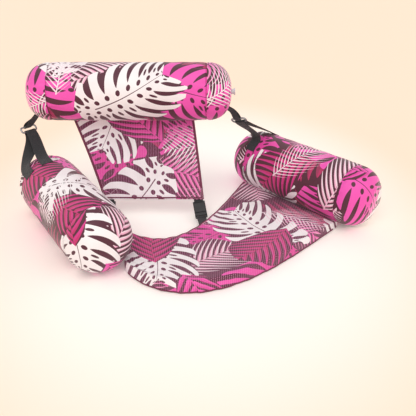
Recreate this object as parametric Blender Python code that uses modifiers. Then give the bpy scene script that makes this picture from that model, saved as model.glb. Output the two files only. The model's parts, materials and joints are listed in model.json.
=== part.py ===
"""Inflatable pool chair: three air-filled bolsters, a seat sling and a back panel.

The chair stands on its two arm bolsters, front towards -Y. Lengths are in metres.
"""

import math

import bmesh
import bpy
from mathutils import Matrix, Vector

# Arm bolsters
ARM_RADIUS = 0.100
ARM_LENGTH = 0.560
ARM_CAP_DEPTH = 0.085

# Back bolster
BACK_RADIUS = 0.092
BACK_LENGTH = 0.660
BACK_CAP_DEPTH = 0.080

# Cloth and air bladders
COVER_THICKNESS = 0.0010
BLADDER_THICKNESS = 0.0006
BLADDER_CLEARANCE = 0.0005
SEAT_CLOTH = 0.0016
PANEL_CLOTH = 0.0020
TOUCH_GAP = 0.0003

# Where the bolsters lie: centres in plan, and the height of the back bolster's axis
LEFT_ARM_PLACE = (-0.3889, -0.0895)
RIGHT_ARM_PLACE = (0.3591, 0.1535)
BACK_PLACE = (-0.2239, 0.1705)
BACK_HEIGHT = 0.393
LEFT_ARM_TURN = math.radians(-58.2)
RIGHT_ARM_TURN = math.radians(-46.3)

# Valves
STEM_RADIUS = 0.0085
STEM_BORE = 0.0060
STEM_REACH = 0.0095
STEM_TRAVEL = 0.0060
STEM_CLEARANCE = 0.0005
FLANGE_RADIUS = 0.0160
FLANGE_THICKNESS = 0.0012
COLLAR_RADIUS = 0.0105
COLLAR_THICKNESS = 0.0020
EYELET_RADIUS = 0.0125
STOPPER_RADIUS = 0.0115
STOPPER_THICKNESS = 0.0026
STOPPER_PLUG_DEPTH = 0.0060
STOPPER_PLUG_RADIUS = 0.0055
STOPPER_PLUG_TIP = 0.0040
STOPPER_HINGE_OFFSET = 0.0135
STOPPER_EAR_WIDTH = 0.0060
STOPPER_EAR_OVERHANG = 0.0010

# Seat sling: where it leaves each arm, and how far its edges bulge forward
SEAT_ATTACH_ANGLE = math.radians(-50.0)
SEAT_LEFT_FRONT = 0.034
SEAT_LEFT_REAR = 0.400
SEAT_RIGHT_FRONT = 0.085
SEAT_RIGHT_REAR = 0.500
SEAT_REAR_BULGE = 0.300
SEAT_FRONT_BULGE = 0.196
SEAT_REAR_HEIGHT = 0.022
SEAT_CREASE_HEIGHT = 0.047
SEAT_LIP_CLEARANCE = 0.0025
SEAT_LIP_LEAN = 0.006
SEAT_SAG = 0.004
SEAT_EASE = 16.0
SEAT_CAP_EASE = 0.0014

# Back panel
PANEL_TOP_WIDTH = 0.400
PANEL_BOTTOM_WIDTH = 0.330
PANEL_TOP_SHIFT = 0.008
PANEL_BOTTOM_SHIFT = 0.075
PANEL_BOTTOM_DEPTH = 0.120
PANEL_BOTTOM_HEIGHT = 0.062
PANEL_BILLOW = 0.010
PANEL_FOLD = 0.0025

# Webbing
BUCKLE_WEBBING = 0.030
SIDE_WEBBING = 0.038
TAB_WEBBING = 0.024
WEBBING_THICKNESS = 0.0016
SEWN_TAIL = 0.034
TAB_SPREAD = 0.8
LOOP_CLEARANCE = 0.0008
TAB_BEND_SHARE = 0.35

# Side rings, each bent from one wire
RING_WIRE = 0.0060
RING_INNER_LENGTH = 0.048
RING_INNER_WIDTH = 0.012
RING_CORNER = 0.006

# Side links, measured from the back bolster's centre: the ring, the way its bars point, and the
# way it hangs. A foot is where a webbing leg leaves the arm: distance from the near end, and angle
LEFT_LINK = {
    "ring": (-0.342, -0.010, -0.125),
    "bar_way": (0.68, 0.73, 0.00),
    "hang_way": (0.35, -0.60, -0.72),
    "root_along": 0.025,
    "root_angle": math.radians(-90.0),
    "feet": ((0.475, math.radians(98.0)), (0.480, math.radians(136.0))),
    "tails": ((0.435, math.radians(98.0)), (0.440, math.radians(136.0))),
}
RIGHT_LINK = {
    "ring": (0.359, 0.040, -0.112),
    "bar_way": (0.80, -0.53, 0.28),
    "hang_way": (0.59, 0.41, -0.69),
    "root_along": 0.645,
    "root_angle": math.radians(-72.0),
    "feet": ((0.462, math.radians(62.0)), (0.462, math.radians(112.0))),
    "tails": ((0.462, math.radians(38.0)), (0.462, math.radians(134.0))),
}

# Side-release buckles
BUCKLE_WIDTH = 0.040
BUCKLE_THICKNESS = 0.0110
BUCKLE_WALL = 0.0018
SOCKET_LENGTH = 0.043
PLUG_BASE_LENGTH = 0.019
BUCKLE_BAR = 0.0035
BUCKLE_BAR_THICKNESS = 0.0044
BUCKLE_PANEL_GAP = 0.0045
BUCKLE_SEAT_LEAD = 0.0250
BUCKLE_SLOT = 0.0045
BUCKLE_DROP = 0.0030
BUCKLE_EDGE = 0.0015
BUCKLE_CLEARANCE = 0.0005
WINDOW_START = 0.0120
WINDOW_LENGTH = 0.0130
PRONG_WIDTH = 0.0040
PRONG_PIVOT_GAP = 0.0004
TONGUE_WIDTH = 0.0070

# How finely round shapes are cut
COVER_SIDES = 32
BLADDER_SIDES = 16
VALVE_SIDES = 16
DOME_STEPS = 5
DOME_HEIGHT_POWER = 2.2
DOME_RADIUS_POWER = 2.6
CUT_OVERRUN = 0.002
WELD_DISTANCE = 0.00001

UP = Vector((0.0, 0.0, 1.0))
RIGHTWARD = Vector((1.0, 0.0, 0.0))
PARTS = "inflatable_pool_chair"
CUTTERS = "cutters"


def clear_scene():
    """Remove every object, and make the two collections."""
    for obj in list(bpy.data.objects):
        bpy.data.objects.remove(obj)
    for name in (PARTS, CUTTERS):
        bpy.context.scene.collection.children.link(bpy.data.collections.new(name))


def finish_material(name, colour, roughness, metallic=0.0):
    """Return a plain Principled material."""
    material = bpy.data.materials.new(name)
    material.use_nodes = True
    shader = material.node_tree.nodes["Principled BSDF"]
    shader.inputs["Base Color"].default_value = (*colour, 1.0)
    shader.inputs["Roughness"].default_value = roughness
    shader.inputs["Metallic"].default_value = metallic
    return material


def make_materials():
    """Return the chair's finishes by name."""
    return {
        "cover": finish_material("printed_satin", (0.80, 0.18, 0.45), 0.55),
        "mesh": finish_material("printed_mesh", (0.72, 0.16, 0.42), 0.75),
        "bladder": finish_material("clear_vinyl", (0.75, 0.80, 0.82), 0.25),
        "valve": finish_material("white_vinyl", (0.85, 0.86, 0.86), 0.40),
        "webbing": finish_material("black_webbing", (0.03, 0.03, 0.035), 0.85),
        "buckle": finish_material("black_plastic", (0.025, 0.027, 0.03), 0.45),
        "ring": finish_material("silver_ring", (0.62, 0.64, 0.65), 0.30, 0.9),
    }


def add_object(name, mesh, material, matrix=None, collection=PARTS):
    """Link a mesh as a named object."""
    obj = bpy.data.objects.new(name, mesh)
    if matrix is not None:
        obj.matrix_world = matrix
    if material is not None:
        mesh.materials.append(material)
    bpy.data.collections[collection].objects.link(obj)
    return obj


def mesh_from(name, points, faces, edges=()):
    """Return a mesh made of points and faces, shaded smooth but for its sharp edges."""
    mesh = bpy.data.meshes.new(name)
    mesh.from_pydata(points, edges, faces)
    mesh.update()
    if faces:
        mesh.shade_smooth()
        mesh.set_sharp_from_angle(angle=math.radians(35.0))
    return mesh


def turned(name, profile, sides, matrix, material, closed):
    """Turn a profile of (radius, height) points about local Z."""
    points = [(radius, 0.0, height) for radius, height in profile]
    edges = [(i, i + 1) for i in range(len(points) - 1)]
    if closed:
        edges.append((len(points) - 1, 0))
    obj = add_object(name, mesh_from(name, points, [], edges), material, matrix)
    screw = obj.modifiers.new("turn", "SCREW")
    screw.axis = "Z"
    screw.steps = sides
    screw.render_steps = sides
    screw.use_merge_vertices = True
    screw.merge_threshold = WELD_DISTANCE
    screw.use_smooth_shade = True
    return obj


def solidified(name, points, columns, thickness, material):
    """Return a cloth sheet: a grid of points given row by row, with an even thickness."""
    rows = len(points) // columns
    faces = []
    for row in range(rows - 1):
        for column in range(columns - 1):
            first = row * columns + column
            faces.append((first, first + 1, first + columns + 1, first + columns))
    obj = add_object(name, mesh_from(name, points, faces), material)
    wall = obj.modifiers.new("thickness", "SOLIDIFY")
    wall.thickness = thickness
    wall.offset = 0.0
    return obj


def box_mesh(name, low, high, bevel=0.0):
    """Return a box between two corners, with its upright edges rounded by a bevel."""
    bm = bmesh.new()
    bmesh.ops.create_cube(bm, size=1.0)
    size = Vector(high) - Vector(low)
    middle = (Vector(high) + Vector(low)) / 2.0
    bmesh.ops.scale(bm, vec=size, verts=bm.verts)
    bmesh.ops.translate(bm, vec=middle, verts=bm.verts)
    if bevel:
        bmesh.ops.bevel(bm, geom=list(bm.edges), offset=bevel, segments=1, affect="EDGES")
    mesh = bpy.data.meshes.new(name)
    bm.to_mesh(mesh)
    bm.free()
    return mesh


def boolean(obj, other, operation):
    """Cut another object out of this one, or join it to this one."""
    step = obj.modifiers.new(other.name, "BOOLEAN")
    step.operation = operation
    step.object = other
    other.hide_render = True
    other.display_type = "WIRE"


def helper_box(name, low, high, matrix):
    """Return a box that only cuts or joins."""
    return add_object(name, box_mesh(name, low, high), None, matrix, CUTTERS)


def frame_matrix(origin, x_axis, y_axis, z_axis):
    """Return the matrix of a frame given by its origin and three unit axes."""
    matrix = Matrix((x_axis, y_axis, z_axis)).transposed().to_4x4()
    matrix.translation = origin
    return matrix


def flat_facet_radius(radius):
    """Return the distance from the axis to a flat facet of a faceted bolster."""
    return radius * math.cos(math.pi / COVER_SIDES)


class Bolster:
    """Sizes and place of one air-filled bolster. Its valve is at its far end."""

    def __init__(self, name, radius, length, cap_depth, place, height, turn):
        self.name = name
        self.radius = radius
        self.length = length
        self.cap_depth = cap_depth
        self.centre = Vector((place[0], place[1], height))
        self.axis = Vector((math.cos(turn), math.sin(turn), 0.0))
        self.side = UP.cross(self.axis)
        facet_turn = Matrix.Rotation(math.pi / COVER_SIDES, 4, "Z")
        self.matrix = frame_matrix(self.centre, UP.cross(self.axis), UP, self.axis) @ facet_turn
        self.far_matrix = frame_matrix(self.centre, self.side, -UP, -self.axis) @ facet_turn

    def seam(self):
        """Return how far from the middle the caps are sewn on."""
        return self.length / 2.0 - self.cap_depth

    def radius_at(self, from_near_end):
        """Return the cover's radius at a distance back from the near end."""
        out = abs(self.length / 2.0 - from_near_end) - self.seam()
        if out <= 0.0:
            return self.radius
        share = min(out / self.cap_depth, 1.0)
        return self.radius * (1.0 - share**DOME_HEIGHT_POWER) ** (1.0 / DOME_RADIUS_POWER)

    def surface(self, from_near_end, angle, clearance, inward):
        """Return a point beside the cover: angle 0 is level on the inner side, and 90 degrees the top."""
        radius = self.radius_at(from_near_end) + clearance
        on_axis = self.centre + self.axis * (self.length / 2.0 - from_near_end)
        return on_axis + inward * (radius * math.cos(angle)) + UP * (radius * math.sin(angle))


def cleared(point, bolster, clearance):
    """Return a point moved straight out from a bolster's axis until it clears the cover."""
    offset = point - bolster.centre
    along = offset.dot(bolster.axis)
    radial = offset - bolster.axis * along
    if abs(along) >= bolster.length / 2.0:
        return point
    needed = bolster.radius_at(bolster.length / 2.0 - along) + clearance
    if radial.length >= needed:
        return point
    return point + radial.normalized() * (needed - radial.length)


def dome_points(radius, depth, seam, hole):
    """Return (radius, height) points from the seam to the pole, or to the rim of a hole there."""
    last = math.pi / 2.0
    if hole:
        last = math.acos((hole / radius) ** (DOME_RADIUS_POWER / 2.0))
    points = []
    for step in range(DOME_STEPS + 1):
        t = last * step / DOME_STEPS
        height = seam + depth * math.sin(t) ** (2.0 / DOME_HEIGHT_POWER)
        points.append((radius * max(math.cos(t), 0.0) ** (2.0 / DOME_RADIUS_POWER), height))
    if not hole:
        points[-1] = (0.0, points[-1][1])
    return points


def build_end_cap(bolster, name, matrix, hole, material):
    """Sew a domed end cap: an outer and an inner skin that meet at the seam and at any hole."""
    thin = COVER_THICKNESS
    seam = bolster.seam() + TOUCH_GAP
    depth = bolster.cap_depth - TOUCH_GAP
    outer = dome_points(bolster.radius, depth, seam, hole)
    inner = dome_points(bolster.radius - thin, depth - thin, seam, hole)
    profile = list(reversed(outer)) + inner
    turned(name, profile, COVER_SIDES, matrix, material, closed=bool(hole))


def build_sleeve(bolster, material):
    """Make the straight printed sleeve between the two end caps."""
    seam = bolster.seam()
    outer = bolster.radius
    inner = outer - COVER_THICKNESS
    profile = [(outer, seam), (outer, -seam), (inner, -seam), (inner, seam)]
    turned(bolster.name + "_sleeve", profile, COVER_SIDES, bolster.matrix, material, closed=True)


def bladder_inset():
    """Return how far the bladder's outer skin lies inside the cover's outer skin."""
    return COVER_THICKNESS + BLADDER_CLEARANCE


def build_bladder(bolster, material):
    """Make the air bladder: a thin skin that is open only where the valve stem passes."""
    inset = bladder_inset()
    seam = bolster.seam()
    hole = STEM_RADIUS + STEM_CLEARANCE
    outer_radius = bolster.radius - inset
    outer_depth = bolster.cap_depth - inset
    thin = BLADDER_THICKNESS
    near_outer = dome_points(outer_radius, outer_depth, seam, 0.0)
    near_inner = dome_points(outer_radius - thin, outer_depth - thin, seam, 0.0)
    far_outer = dome_points(outer_radius, outer_depth, seam, hole)
    far_inner = dome_points(outer_radius - thin, outer_depth - thin, seam, hole)
    profile = [(r, z) for r, z in reversed(far_outer)]
    profile += [(r, -z) for r, z in near_outer]
    profile += [(r, -z) for r, z in reversed(near_inner)]
    profile += [(r, z) for r, z in far_inner]
    turned(bolster.name + "_bladder", profile, BLADDER_SIDES, bolster.far_matrix, material, closed=True)


def valve_levels(bolster):
    """Return the heights, along the far end's axis, of the bladder's inner face and of the stem's top."""
    tip = bolster.length / 2.0
    inner_face = tip - bladder_inset() - BLADDER_THICKNESS
    return inner_face, tip + STEM_REACH


def build_valve(bolster, materials):
    """Make the valve stem, which pushes in, and its hinged stopper."""
    inner_face, top = valve_levels(bolster)
    flange_top = inner_face - FLANGE_THICKNESS
    stem = [
        (STEM_BORE, top),
        (COLLAR_RADIUS, top),
        (COLLAR_RADIUS, top - COLLAR_THICKNESS),
        (STEM_RADIUS, top - COLLAR_THICKNESS),
        (STEM_RADIUS, flange_top),
        (FLANGE_RADIUS, flange_top),
        (FLANGE_RADIUS, flange_top - FLANGE_THICKNESS),
        (STEM_BORE, flange_top - FLANGE_THICKNESS),
    ]
    turned(bolster.name + "_valve_stem", stem, VALVE_SIDES, bolster.far_matrix, materials["valve"], True)
    low = top + TOUCH_GAP
    stopper = [
        (0.0, low + STOPPER_THICKNESS),
        (STOPPER_RADIUS, low + STOPPER_THICKNESS),
        (STOPPER_RADIUS, low),
        (STOPPER_PLUG_RADIUS, low),
        (STOPPER_PLUG_TIP, low - STOPPER_PLUG_DEPTH),
        (0.0, low - STOPPER_PLUG_DEPTH),
    ]
    name = bolster.name + "_valve_cap"
    cap = turned(name, stopper, VALVE_SIDES, bolster.far_matrix, materials["valve"], False)
    ear_low = (STOPPER_PLUG_RADIUS, -STOPPER_EAR_WIDTH / 2.0, low + TOUCH_GAP)
    ear_high = (
        STOPPER_HINGE_OFFSET + STOPPER_EAR_OVERHANG,
        STOPPER_EAR_WIDTH / 2.0,
        low + STOPPER_THICKNESS - TOUCH_GAP,
    )
    boolean(cap, helper_box(name + "_ear", ear_low, ear_high, bolster.far_matrix), "UNION")


def build_bolster(bolster, materials):
    """Make all six pieces of a bolster."""
    build_sleeve(bolster, materials["cover"])
    build_end_cap(bolster, bolster.name + "_near_cap", bolster.matrix, 0.0, materials["cover"])
    build_end_cap(bolster, bolster.name + "_far_cap", bolster.far_matrix, EYELET_RADIUS, materials["cover"])
    build_bladder(bolster, materials["bladder"])
    build_valve(bolster, materials)


def make_bolsters():
    """Return the three bolsters: the back one lies along X, with its valve at the right-hand end."""
    arm_height = flat_facet_radius(ARM_RADIUS)
    arm = (ARM_RADIUS, ARM_LENGTH, ARM_CAP_DEPTH)
    back = (BACK_RADIUS, BACK_LENGTH, BACK_CAP_DEPTH)
    return {
        "left": Bolster("left_arm", *arm, LEFT_ARM_PLACE, arm_height, LEFT_ARM_TURN),
        "right": Bolster("right_arm", *arm, RIGHT_ARM_PLACE, arm_height, RIGHT_ARM_TURN),
        "back": Bolster("back", *back, BACK_PLACE, BACK_HEIGHT, math.pi),
    }


def skewed_arch(share, power):
    """Return an arch from 0 to 1 and back, leaning to one side as the power leaves 1."""
    return math.sin(math.pi * share**power)


def seat_edge_point(bolster, inward, from_near_end):
    """Return where the sling meets an arm at a distance back from the arm's near end."""
    from_end = min(from_near_end, bolster.length - from_near_end)
    over_cap = max(1.0 - from_end / (2.0 * bolster.cap_depth), 0.0)
    offset = sewn_edge_offset() + SEAT_CAP_EASE * over_cap
    return bolster.surface(from_near_end, SEAT_ATTACH_ANGLE, offset, inward)


def sewn_edge_offset():
    """Return how far the middle of the sling lies from an arm where it is sewn on."""
    return SEAT_CLOTH / 2.0 + TOUCH_GAP


class Seat:
    """The sling between the arms, as a patch between four edges."""

    REAR_SKEW = 1.20
    FRONT_SKEW = 0.75
    COLUMNS = 29
    ROWS = 14
    LIP_ROWS = 3
    ROW_GATHER = 0.8

    def __init__(self, bolsters):
        self.left = bolsters["left"]
        self.right = bolsters["right"]
        self.left_inward = -self.left.side.copy()
        self.right_inward = self.right.side.copy()
        if self.left_inward.x < 0.0:
            self.left_inward.negate()
        if self.right_inward.x > 0.0:
            self.right_inward.negate()

    def left_edge(self, share):
        """Return a point on the left edge, from rear to front."""
        along = SEAT_LEFT_REAR + (SEAT_LEFT_FRONT - SEAT_LEFT_REAR) * share
        return seat_edge_point(self.left, self.left_inward, along)

    def right_edge(self, share):
        """Return a point on the right edge, from rear to front."""
        along = SEAT_RIGHT_REAR + (SEAT_RIGHT_FRONT - SEAT_RIGHT_REAR) * share
        return seat_edge_point(self.right, self.right_inward, along)

    def arched(self, ends, share, bulge, skew, height):
        """Return a point on an edge that bulges forward between two ends."""
        start, end = ends
        arch = skewed_arch(share, skew)
        point = start.lerp(end, share)
        point.y -= bulge * arch
        point.z += (height - point.z) * math.sqrt(arch)
        return point

    def rear_edge(self, share):
        """Return a point on the open rear edge, from left to right."""
        ends = (self.left_edge(0.0), self.right_edge(0.0))
        return self.arched(ends, share, SEAT_REAR_BULGE, self.REAR_SKEW, SEAT_REAR_HEIGHT)

    def crease(self, share):
        """Return a point on the crease where the cloth turns down, from left to right."""
        ends = (self.left_edge(1.0), self.right_edge(1.0))
        return self.arched(ends, share, SEAT_FRONT_BULGE, self.FRONT_SKEW, SEAT_CREASE_HEIGHT)

    def surface(self, across, forward):
        """Return a point of the sling: across runs left to right, and forward rear to front."""
        rear, front = self.rear_edge(across), self.crease(across)
        left, right = self.left_edge(forward), self.right_edge(forward)
        corners = self.left_edge(0.0).lerp(self.right_edge(0.0), across).lerp(
            self.left_edge(1.0).lerp(self.right_edge(1.0), across), forward
        )
        point = rear.lerp(front, forward) + left.lerp(right, across) - corners
        point.z -= SEAT_SAG * math.sin(math.pi * across) * math.sin(math.pi * forward) ** 2
        return self.beside_arms(point, across)

    def lip(self, across, share):
        """Return a point of the turned-down lip, from the crease to its lower hem."""
        top = self.crease(across)
        hem = top.copy()
        hem.z = SEAT_LIP_CLEARANCE
        hem.y -= SEAT_LIP_LEAN * math.sin(math.pi * across)
        return self.beside_arms(top.lerp(hem, share), across)

    def beside_arms(self, point, across):
        """Return a point of the sling kept clear of both arms; its sewn edges lie closest."""
        clearance = sewn_edge_offset() * (1.0 + SEAT_EASE * math.sin(math.pi * across))
        return cleared(cleared(point, self.left, clearance), self.right, clearance)


def build_seat(seat, material):
    """Make the sling with its lip."""
    points = []
    for row in range(Seat.ROWS):
        share = row / (Seat.ROWS - 1)
        forward = share - Seat.ROW_GATHER * math.sin(2.0 * math.pi * share) / (2.0 * math.pi)
        for column in range(Seat.COLUMNS):
            points.append(seat.surface(column / (Seat.COLUMNS - 1), forward))
    for row in range(1, Seat.LIP_ROWS + 1):
        for column in range(Seat.COLUMNS):
            points.append(seat.lip(column / (Seat.COLUMNS - 1), row / Seat.LIP_ROWS))
    solidified("seat_sling", points, Seat.COLUMNS, SEAT_CLOTH, material)


class Panel:
    """The cloth that hangs from the back bolster, narrower and further right at its lower edge."""

    COLUMNS = 25
    ROWS = 7
    FOLDS = 6

    def __init__(self, bolsters):
        back = bolsters["back"]
        self.top_middle = back.centre.copy()
        self.top_middle.x += PANEL_TOP_SHIFT
        self.top_middle.z -= flat_facet_radius(BACK_RADIUS) + TOUCH_GAP + PANEL_CLOTH / 4.0
        self.bottom_middle = back.centre.copy()
        self.bottom_middle.x += PANEL_BOTTOM_SHIFT
        self.bottom_middle.y -= PANEL_BOTTOM_DEPTH
        self.bottom_middle.z = PANEL_BOTTOM_HEIGHT

    def flat_point(self, across, down):
        """Return a point of the panel before it billows: across from left to right, down from 0 to 1."""
        width = PANEL_TOP_WIDTH + (PANEL_BOTTOM_WIDTH - PANEL_TOP_WIDTH) * down
        point = self.top_middle.lerp(self.bottom_middle, down)
        point.x += (across - 0.5) * width
        return point

    def surface(self, across, down):
        """Return a point of the billowed panel."""
        point = self.flat_point(across, down)
        point.y += PANEL_BILLOW * math.sin(math.pi * down)
        folds = math.sin(2.0 * math.pi * self.FOLDS * across)
        point.y += PANEL_FOLD * folds * math.sin(math.pi * down) * math.sin(math.pi * across) ** 2
        return point


def build_panel(panel, material):
    """Make the back panel."""
    points = []
    for row in range(Panel.ROWS):
        for column in range(Panel.COLUMNS):
            points.append(panel.surface(column / (Panel.COLUMNS - 1), row / (Panel.ROWS - 1)))
    solidified("back_panel", points, Panel.COLUMNS, PANEL_CLOTH, material)


def smooth_path(points, steps):
    """Return points on a smooth curve through the given ones, with some steps between each two."""
    last = len(points) - 1
    spans = [points[i + 1] - points[i] for i in range(last)]
    lengths = [span.length for span in spans]
    slopes = [spans[0] / lengths[0]]
    for i in range(1, last):
        before, after = spans[i - 1] / lengths[i - 1], spans[i] / lengths[i]
        mixed = before * lengths[i] + after * lengths[i - 1]
        slopes.append(mixed / (lengths[i - 1] + lengths[i]))
    slopes.append(spans[-1] / lengths[-1])
    path = []
    for i in range(last):
        for step in range(steps):
            t = step / steps
            bend = t * t * (3.0 - 2.0 * t)
            lead = t * (1.0 - t) ** 2 * lengths[i]
            lag = t * t * (t - 1.0) * lengths[i]
            path.append(points[i].lerp(points[i + 1], bend) + slopes[i] * lead + slopes[i + 1] * lag)
    path.append(points[-1])
    return path


def blend_ways(ways, steps):
    """Return directions that turn evenly from each given one to the next."""
    blended = []
    for start, end in zip(ways, ways[1:]):
        blended += [start.lerp(end, step / steps).normalized() for step in range(steps)]
    return [*blended, ways[-1]]


def squared(points, ways, width):
    """Return ribbon stations whose half widths stand square to the path through the points."""
    stations = []
    for i, (point, way) in enumerate(zip(points, ways)):
        along = (points[min(i + 1, len(points) - 1)] - points[max(i - 1, 0)]).normalized()
        stations.append((point, (way - along * way.dot(along)).normalized() * (width / 2.0)))
    return stations


def ribbon(name, stations, material):
    """Make flat webbing from stations of (middle, half width)."""
    edges = []
    for middle, half in stations:
        edges += [middle - half, middle + half]
    return solidified(name, edges, 2, WEBBING_THICKNESS, material)


class SideRing:
    """The silver ring that joins a tab on the back bolster to the webbing loop on an arm."""

    def __init__(self, name, centre, bar_way, hang_way):
        self.name = name
        self.centre = centre
        self.bar = Vector(bar_way).normalized()
        hang = Vector(hang_way)
        self.down = (hang - self.bar * hang.dot(self.bar)).normalized()
        self.half_width = (RING_INNER_WIDTH + RING_WIRE) / 2.0
        self.half_length = (RING_INNER_LENGTH + RING_WIRE) / 2.0

    def upper_bar(self):
        """Return the middle of the bar that the tab holds."""
        return self.centre - self.down * self.half_width

    def lower_bar(self):
        """Return the middle of the bar that carries the webbing loop."""
        return self.centre + self.down * self.half_width


def build_ring(ring, material):
    """Bend the ring's wire round four corners."""
    curve = bpy.data.curves.new(ring.name, "CURVE")
    curve.dimensions = "3D"
    curve.bevel_depth = RING_WIRE / 2.0
    curve.bevel_resolution = 2
    corner_steps = 3
    places = []
    for turn, (u, v) in enumerate(((1, 1), (-1, 1), (-1, -1), (1, -1))):
        middle = (u * (ring.half_length - RING_CORNER), v * (ring.half_width - RING_CORNER))
        for step in range(corner_steps + 1):
            angle = math.pi / 2.0 * (turn + step / corner_steps)
            places.append((middle[0] + RING_CORNER * math.cos(angle), middle[1] + RING_CORNER * math.sin(angle)))
    spline = curve.splines.new("POLY")
    spline.points.add(len(places) - 1)
    for point, (u, v) in zip(spline.points, places):
        point.co = (*(ring.centre + ring.bar * u + ring.down * v), 1.0)
    spline.use_cyclic_u = True
    curve.materials.append(material)
    obj = bpy.data.objects.new(ring.name, curve)
    bpy.data.collections[PARTS].objects.link(obj)
    return obj


def bar_loop(bar, across, toward, radius, steps):
    """Return points of a half turn of webbing round a bar, from one flank to the other."""
    side = across.cross(toward)
    points = []
    for step in range(steps + 1):
        angle = math.pi * step / steps
        points.append(bar - side * (radius * math.cos(angle)) + toward * (radius * math.sin(angle)))
    return points


def loop_radius():
    """Return the radius of webbing's middle where it goes round a ring's wire."""
    return RING_WIRE / 2.0 + LOOP_CLEARANCE + WEBBING_THICKNESS / 2.0


def build_tab(ring, name, back, link, material):
    """Hang a doubled tab from the back bolster, round the ring's upper bar."""
    inward = Vector((0.0, 1.0, 0.0))
    root = back.surface(link["root_along"], link["root_angle"], TOUCH_GAP, inward)
    rise = back.surface(link["root_along"] - TOUCH_GAP, link["root_angle"], TOUCH_GAP, inward)
    fall = back.surface(link["root_along"] + TOUCH_GAP, link["root_angle"], TOUCH_GAP, inward)
    round_way = back.surface(link["root_along"], link["root_angle"] + 0.01, TOUCH_GAP, inward) - root
    outward = (rise - fall).cross(round_way).normalized()
    if outward.z > 0.0:
        outward.negate()
    bar = ring.upper_bar()
    toward = (bar - root).normalized()
    toward = (toward - ring.bar * toward.dot(ring.bar)).normalized()
    turn = bar_loop(bar, ring.bar, toward, loop_radius(), 6)
    apart = (turn[0] - turn[-1]).normalized() * (WEBBING_THICKNESS * TAB_SPREAD)
    start = root + outward * WEBBING_THICKNESS
    reach = (bar - start).length
    bend = start + outward * (reach * TAB_BEND_SHARE)
    points = [start + apart, bend + apart, *turn, bend - apart, start - apart]
    ways = [ring.bar] * len(points)
    ribbon(name, squared(smooth_path(points, 2), blend_ways(ways, 2), TAB_WEBBING), material)


def build_side_strap(ring, name, arm, inward, link, material):
    """Loop webbing over the ring's lower bar, with both ends sewn flat on the arm."""
    clearance = TOUCH_GAP + WEBBING_THICKNESS / 2.0
    bar = ring.lower_bar()
    legs, leg_ways = [], []
    for (foot_along, foot_angle), (tail_along, tail_angle) in zip(link["feet"], link["tails"]):
        leg, ways = [], []
        for share in (1.0, 0.5, 0.0):
            along = foot_along + (tail_along - foot_along) * share
            angle = foot_angle + (tail_angle - foot_angle) * share
            lift = clearance + LOOP_CLEARANCE * 2.0 * (1.0 - share)
            leg.append(arm.surface(along, angle, lift, inward))
            radial = leg[-1] - arm.surface(along, angle, -arm.radius / 2.0, inward)
            ways.append(radial)
        run = (leg[2] - leg[0]).normalized()
        ways = [radial.cross(run).normalized() for radial in ways]
        if ways[0].dot(ring.bar) < 0.0:
            ways = [-way for way in ways]
        legs.append(leg)
        leg_ways.append(ways)
    down = ((legs[0][2] + legs[1][2]) / 2.0 - bar).normalized()
    up = -(down - ring.bar * down.dot(ring.bar)).normalized()
    turn = bar_loop(bar, ring.bar, up, loop_radius(), 6)
    if (turn[0] - legs[0][2]).length > (turn[-1] - legs[0][2]).length:
        turn.reverse()
    points = [*legs[0], *turn, *reversed(legs[1])]
    ways = [*leg_ways[0], *([ring.bar] * len(turn)), *reversed(leg_ways[1])]
    ribbon(name, squared(smooth_path(points, 3), blend_ways(ways, 3), SIDE_WEBBING), material)


def sewn_clearance(cloth):
    """Return how far webbing's middle lies from the middle of the cloth it is sewn to."""
    return cloth / 2.0 + TOUCH_GAP + WEBBING_THICKNESS / 2.0


def webbing_level():
    """Return how far the middle of webbing lies from the middle of a buckle's bar."""
    return BUCKLE_BAR_THICKNESS / 2.0 + TOUCH_GAP + WEBBING_THICKNESS / 2.0


class Buckle:
    """Place and frame of a side-release buckle: local Y runs from the seat to the panel."""

    def __init__(self, name, panel_end, seat_end):
        self.name = name
        forward = (panel_end - seat_end).normalized()
        top = RIGHTWARD.cross(forward).normalized()
        across = forward.cross(top)
        self.forward = forward
        self.across = across
        self.top = top
        spare = (panel_end - seat_end).length - SOCKET_LENGTH - PLUG_BASE_LENGTH
        drop = top * (webbing_level() + sewn_clearance(PANEL_CLOTH) + BUCKLE_DROP)
        self.mouth = seat_end - drop + forward * (spare - BUCKLE_PANEL_GAP + PLUG_BASE_LENGTH)
        self.matrix = frame_matrix(self.mouth, across, forward, top)

    def unfolded(self, plane_way):
        """Return the buckle's forward and across directions turned about X into another plane.

        The other plane holds X and the given direction, which leads away from the buckle.
        """
        own_way = RIGHTWARD.cross(self.top)
        if own_way.dot(self.forward) < 0.0:
            own_way.negate()
        turned = []
        for way in (self.forward, self.across):
            turned.append(RIGHTWARD * way.dot(RIGHTWARD) + plane_way * way.dot(own_way))
        return turned

    def at(self, across, forward, top=0.0):
        """Return a world point from local sizes."""
        return self.mouth + self.across * across + self.forward * forward + self.top * top


def webbing_slot(buckle, name, start):
    """Return the cutter of a slot for webbing, its near side at start."""
    half = BUCKLE_WEBBING / 2.0 + BUCKLE_CLEARANCE
    low = (-half, start, -BUCKLE_THICKNESS)
    high = (half, start + BUCKLE_SLOT, BUCKLE_THICKNESS)
    return helper_box(name, low, high, buckle.matrix)


def bar_recesses(buckle, name, start, end):
    """Return cutters that thin a buckle's end to a slim bar, above and below."""
    wide = BUCKLE_WIDTH / 2.0 + CUT_OVERRUN
    near = BUCKLE_BAR_THICKNESS / 2.0
    upper = helper_box(name + "_recess_a", (-wide, start, near), (wide, end, BUCKLE_THICKNESS), buckle.matrix)
    lower = helper_box(name + "_recess_b", (-wide, start, -BUCKLE_THICKNESS), (wide, end, -near), buckle.matrix)
    return upper, lower


def cavity_half_width():
    """Return half the width of the socket's cavity."""
    return BUCKLE_WIDTH / 2.0 - 2.0 * BUCKLE_WALL


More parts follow.
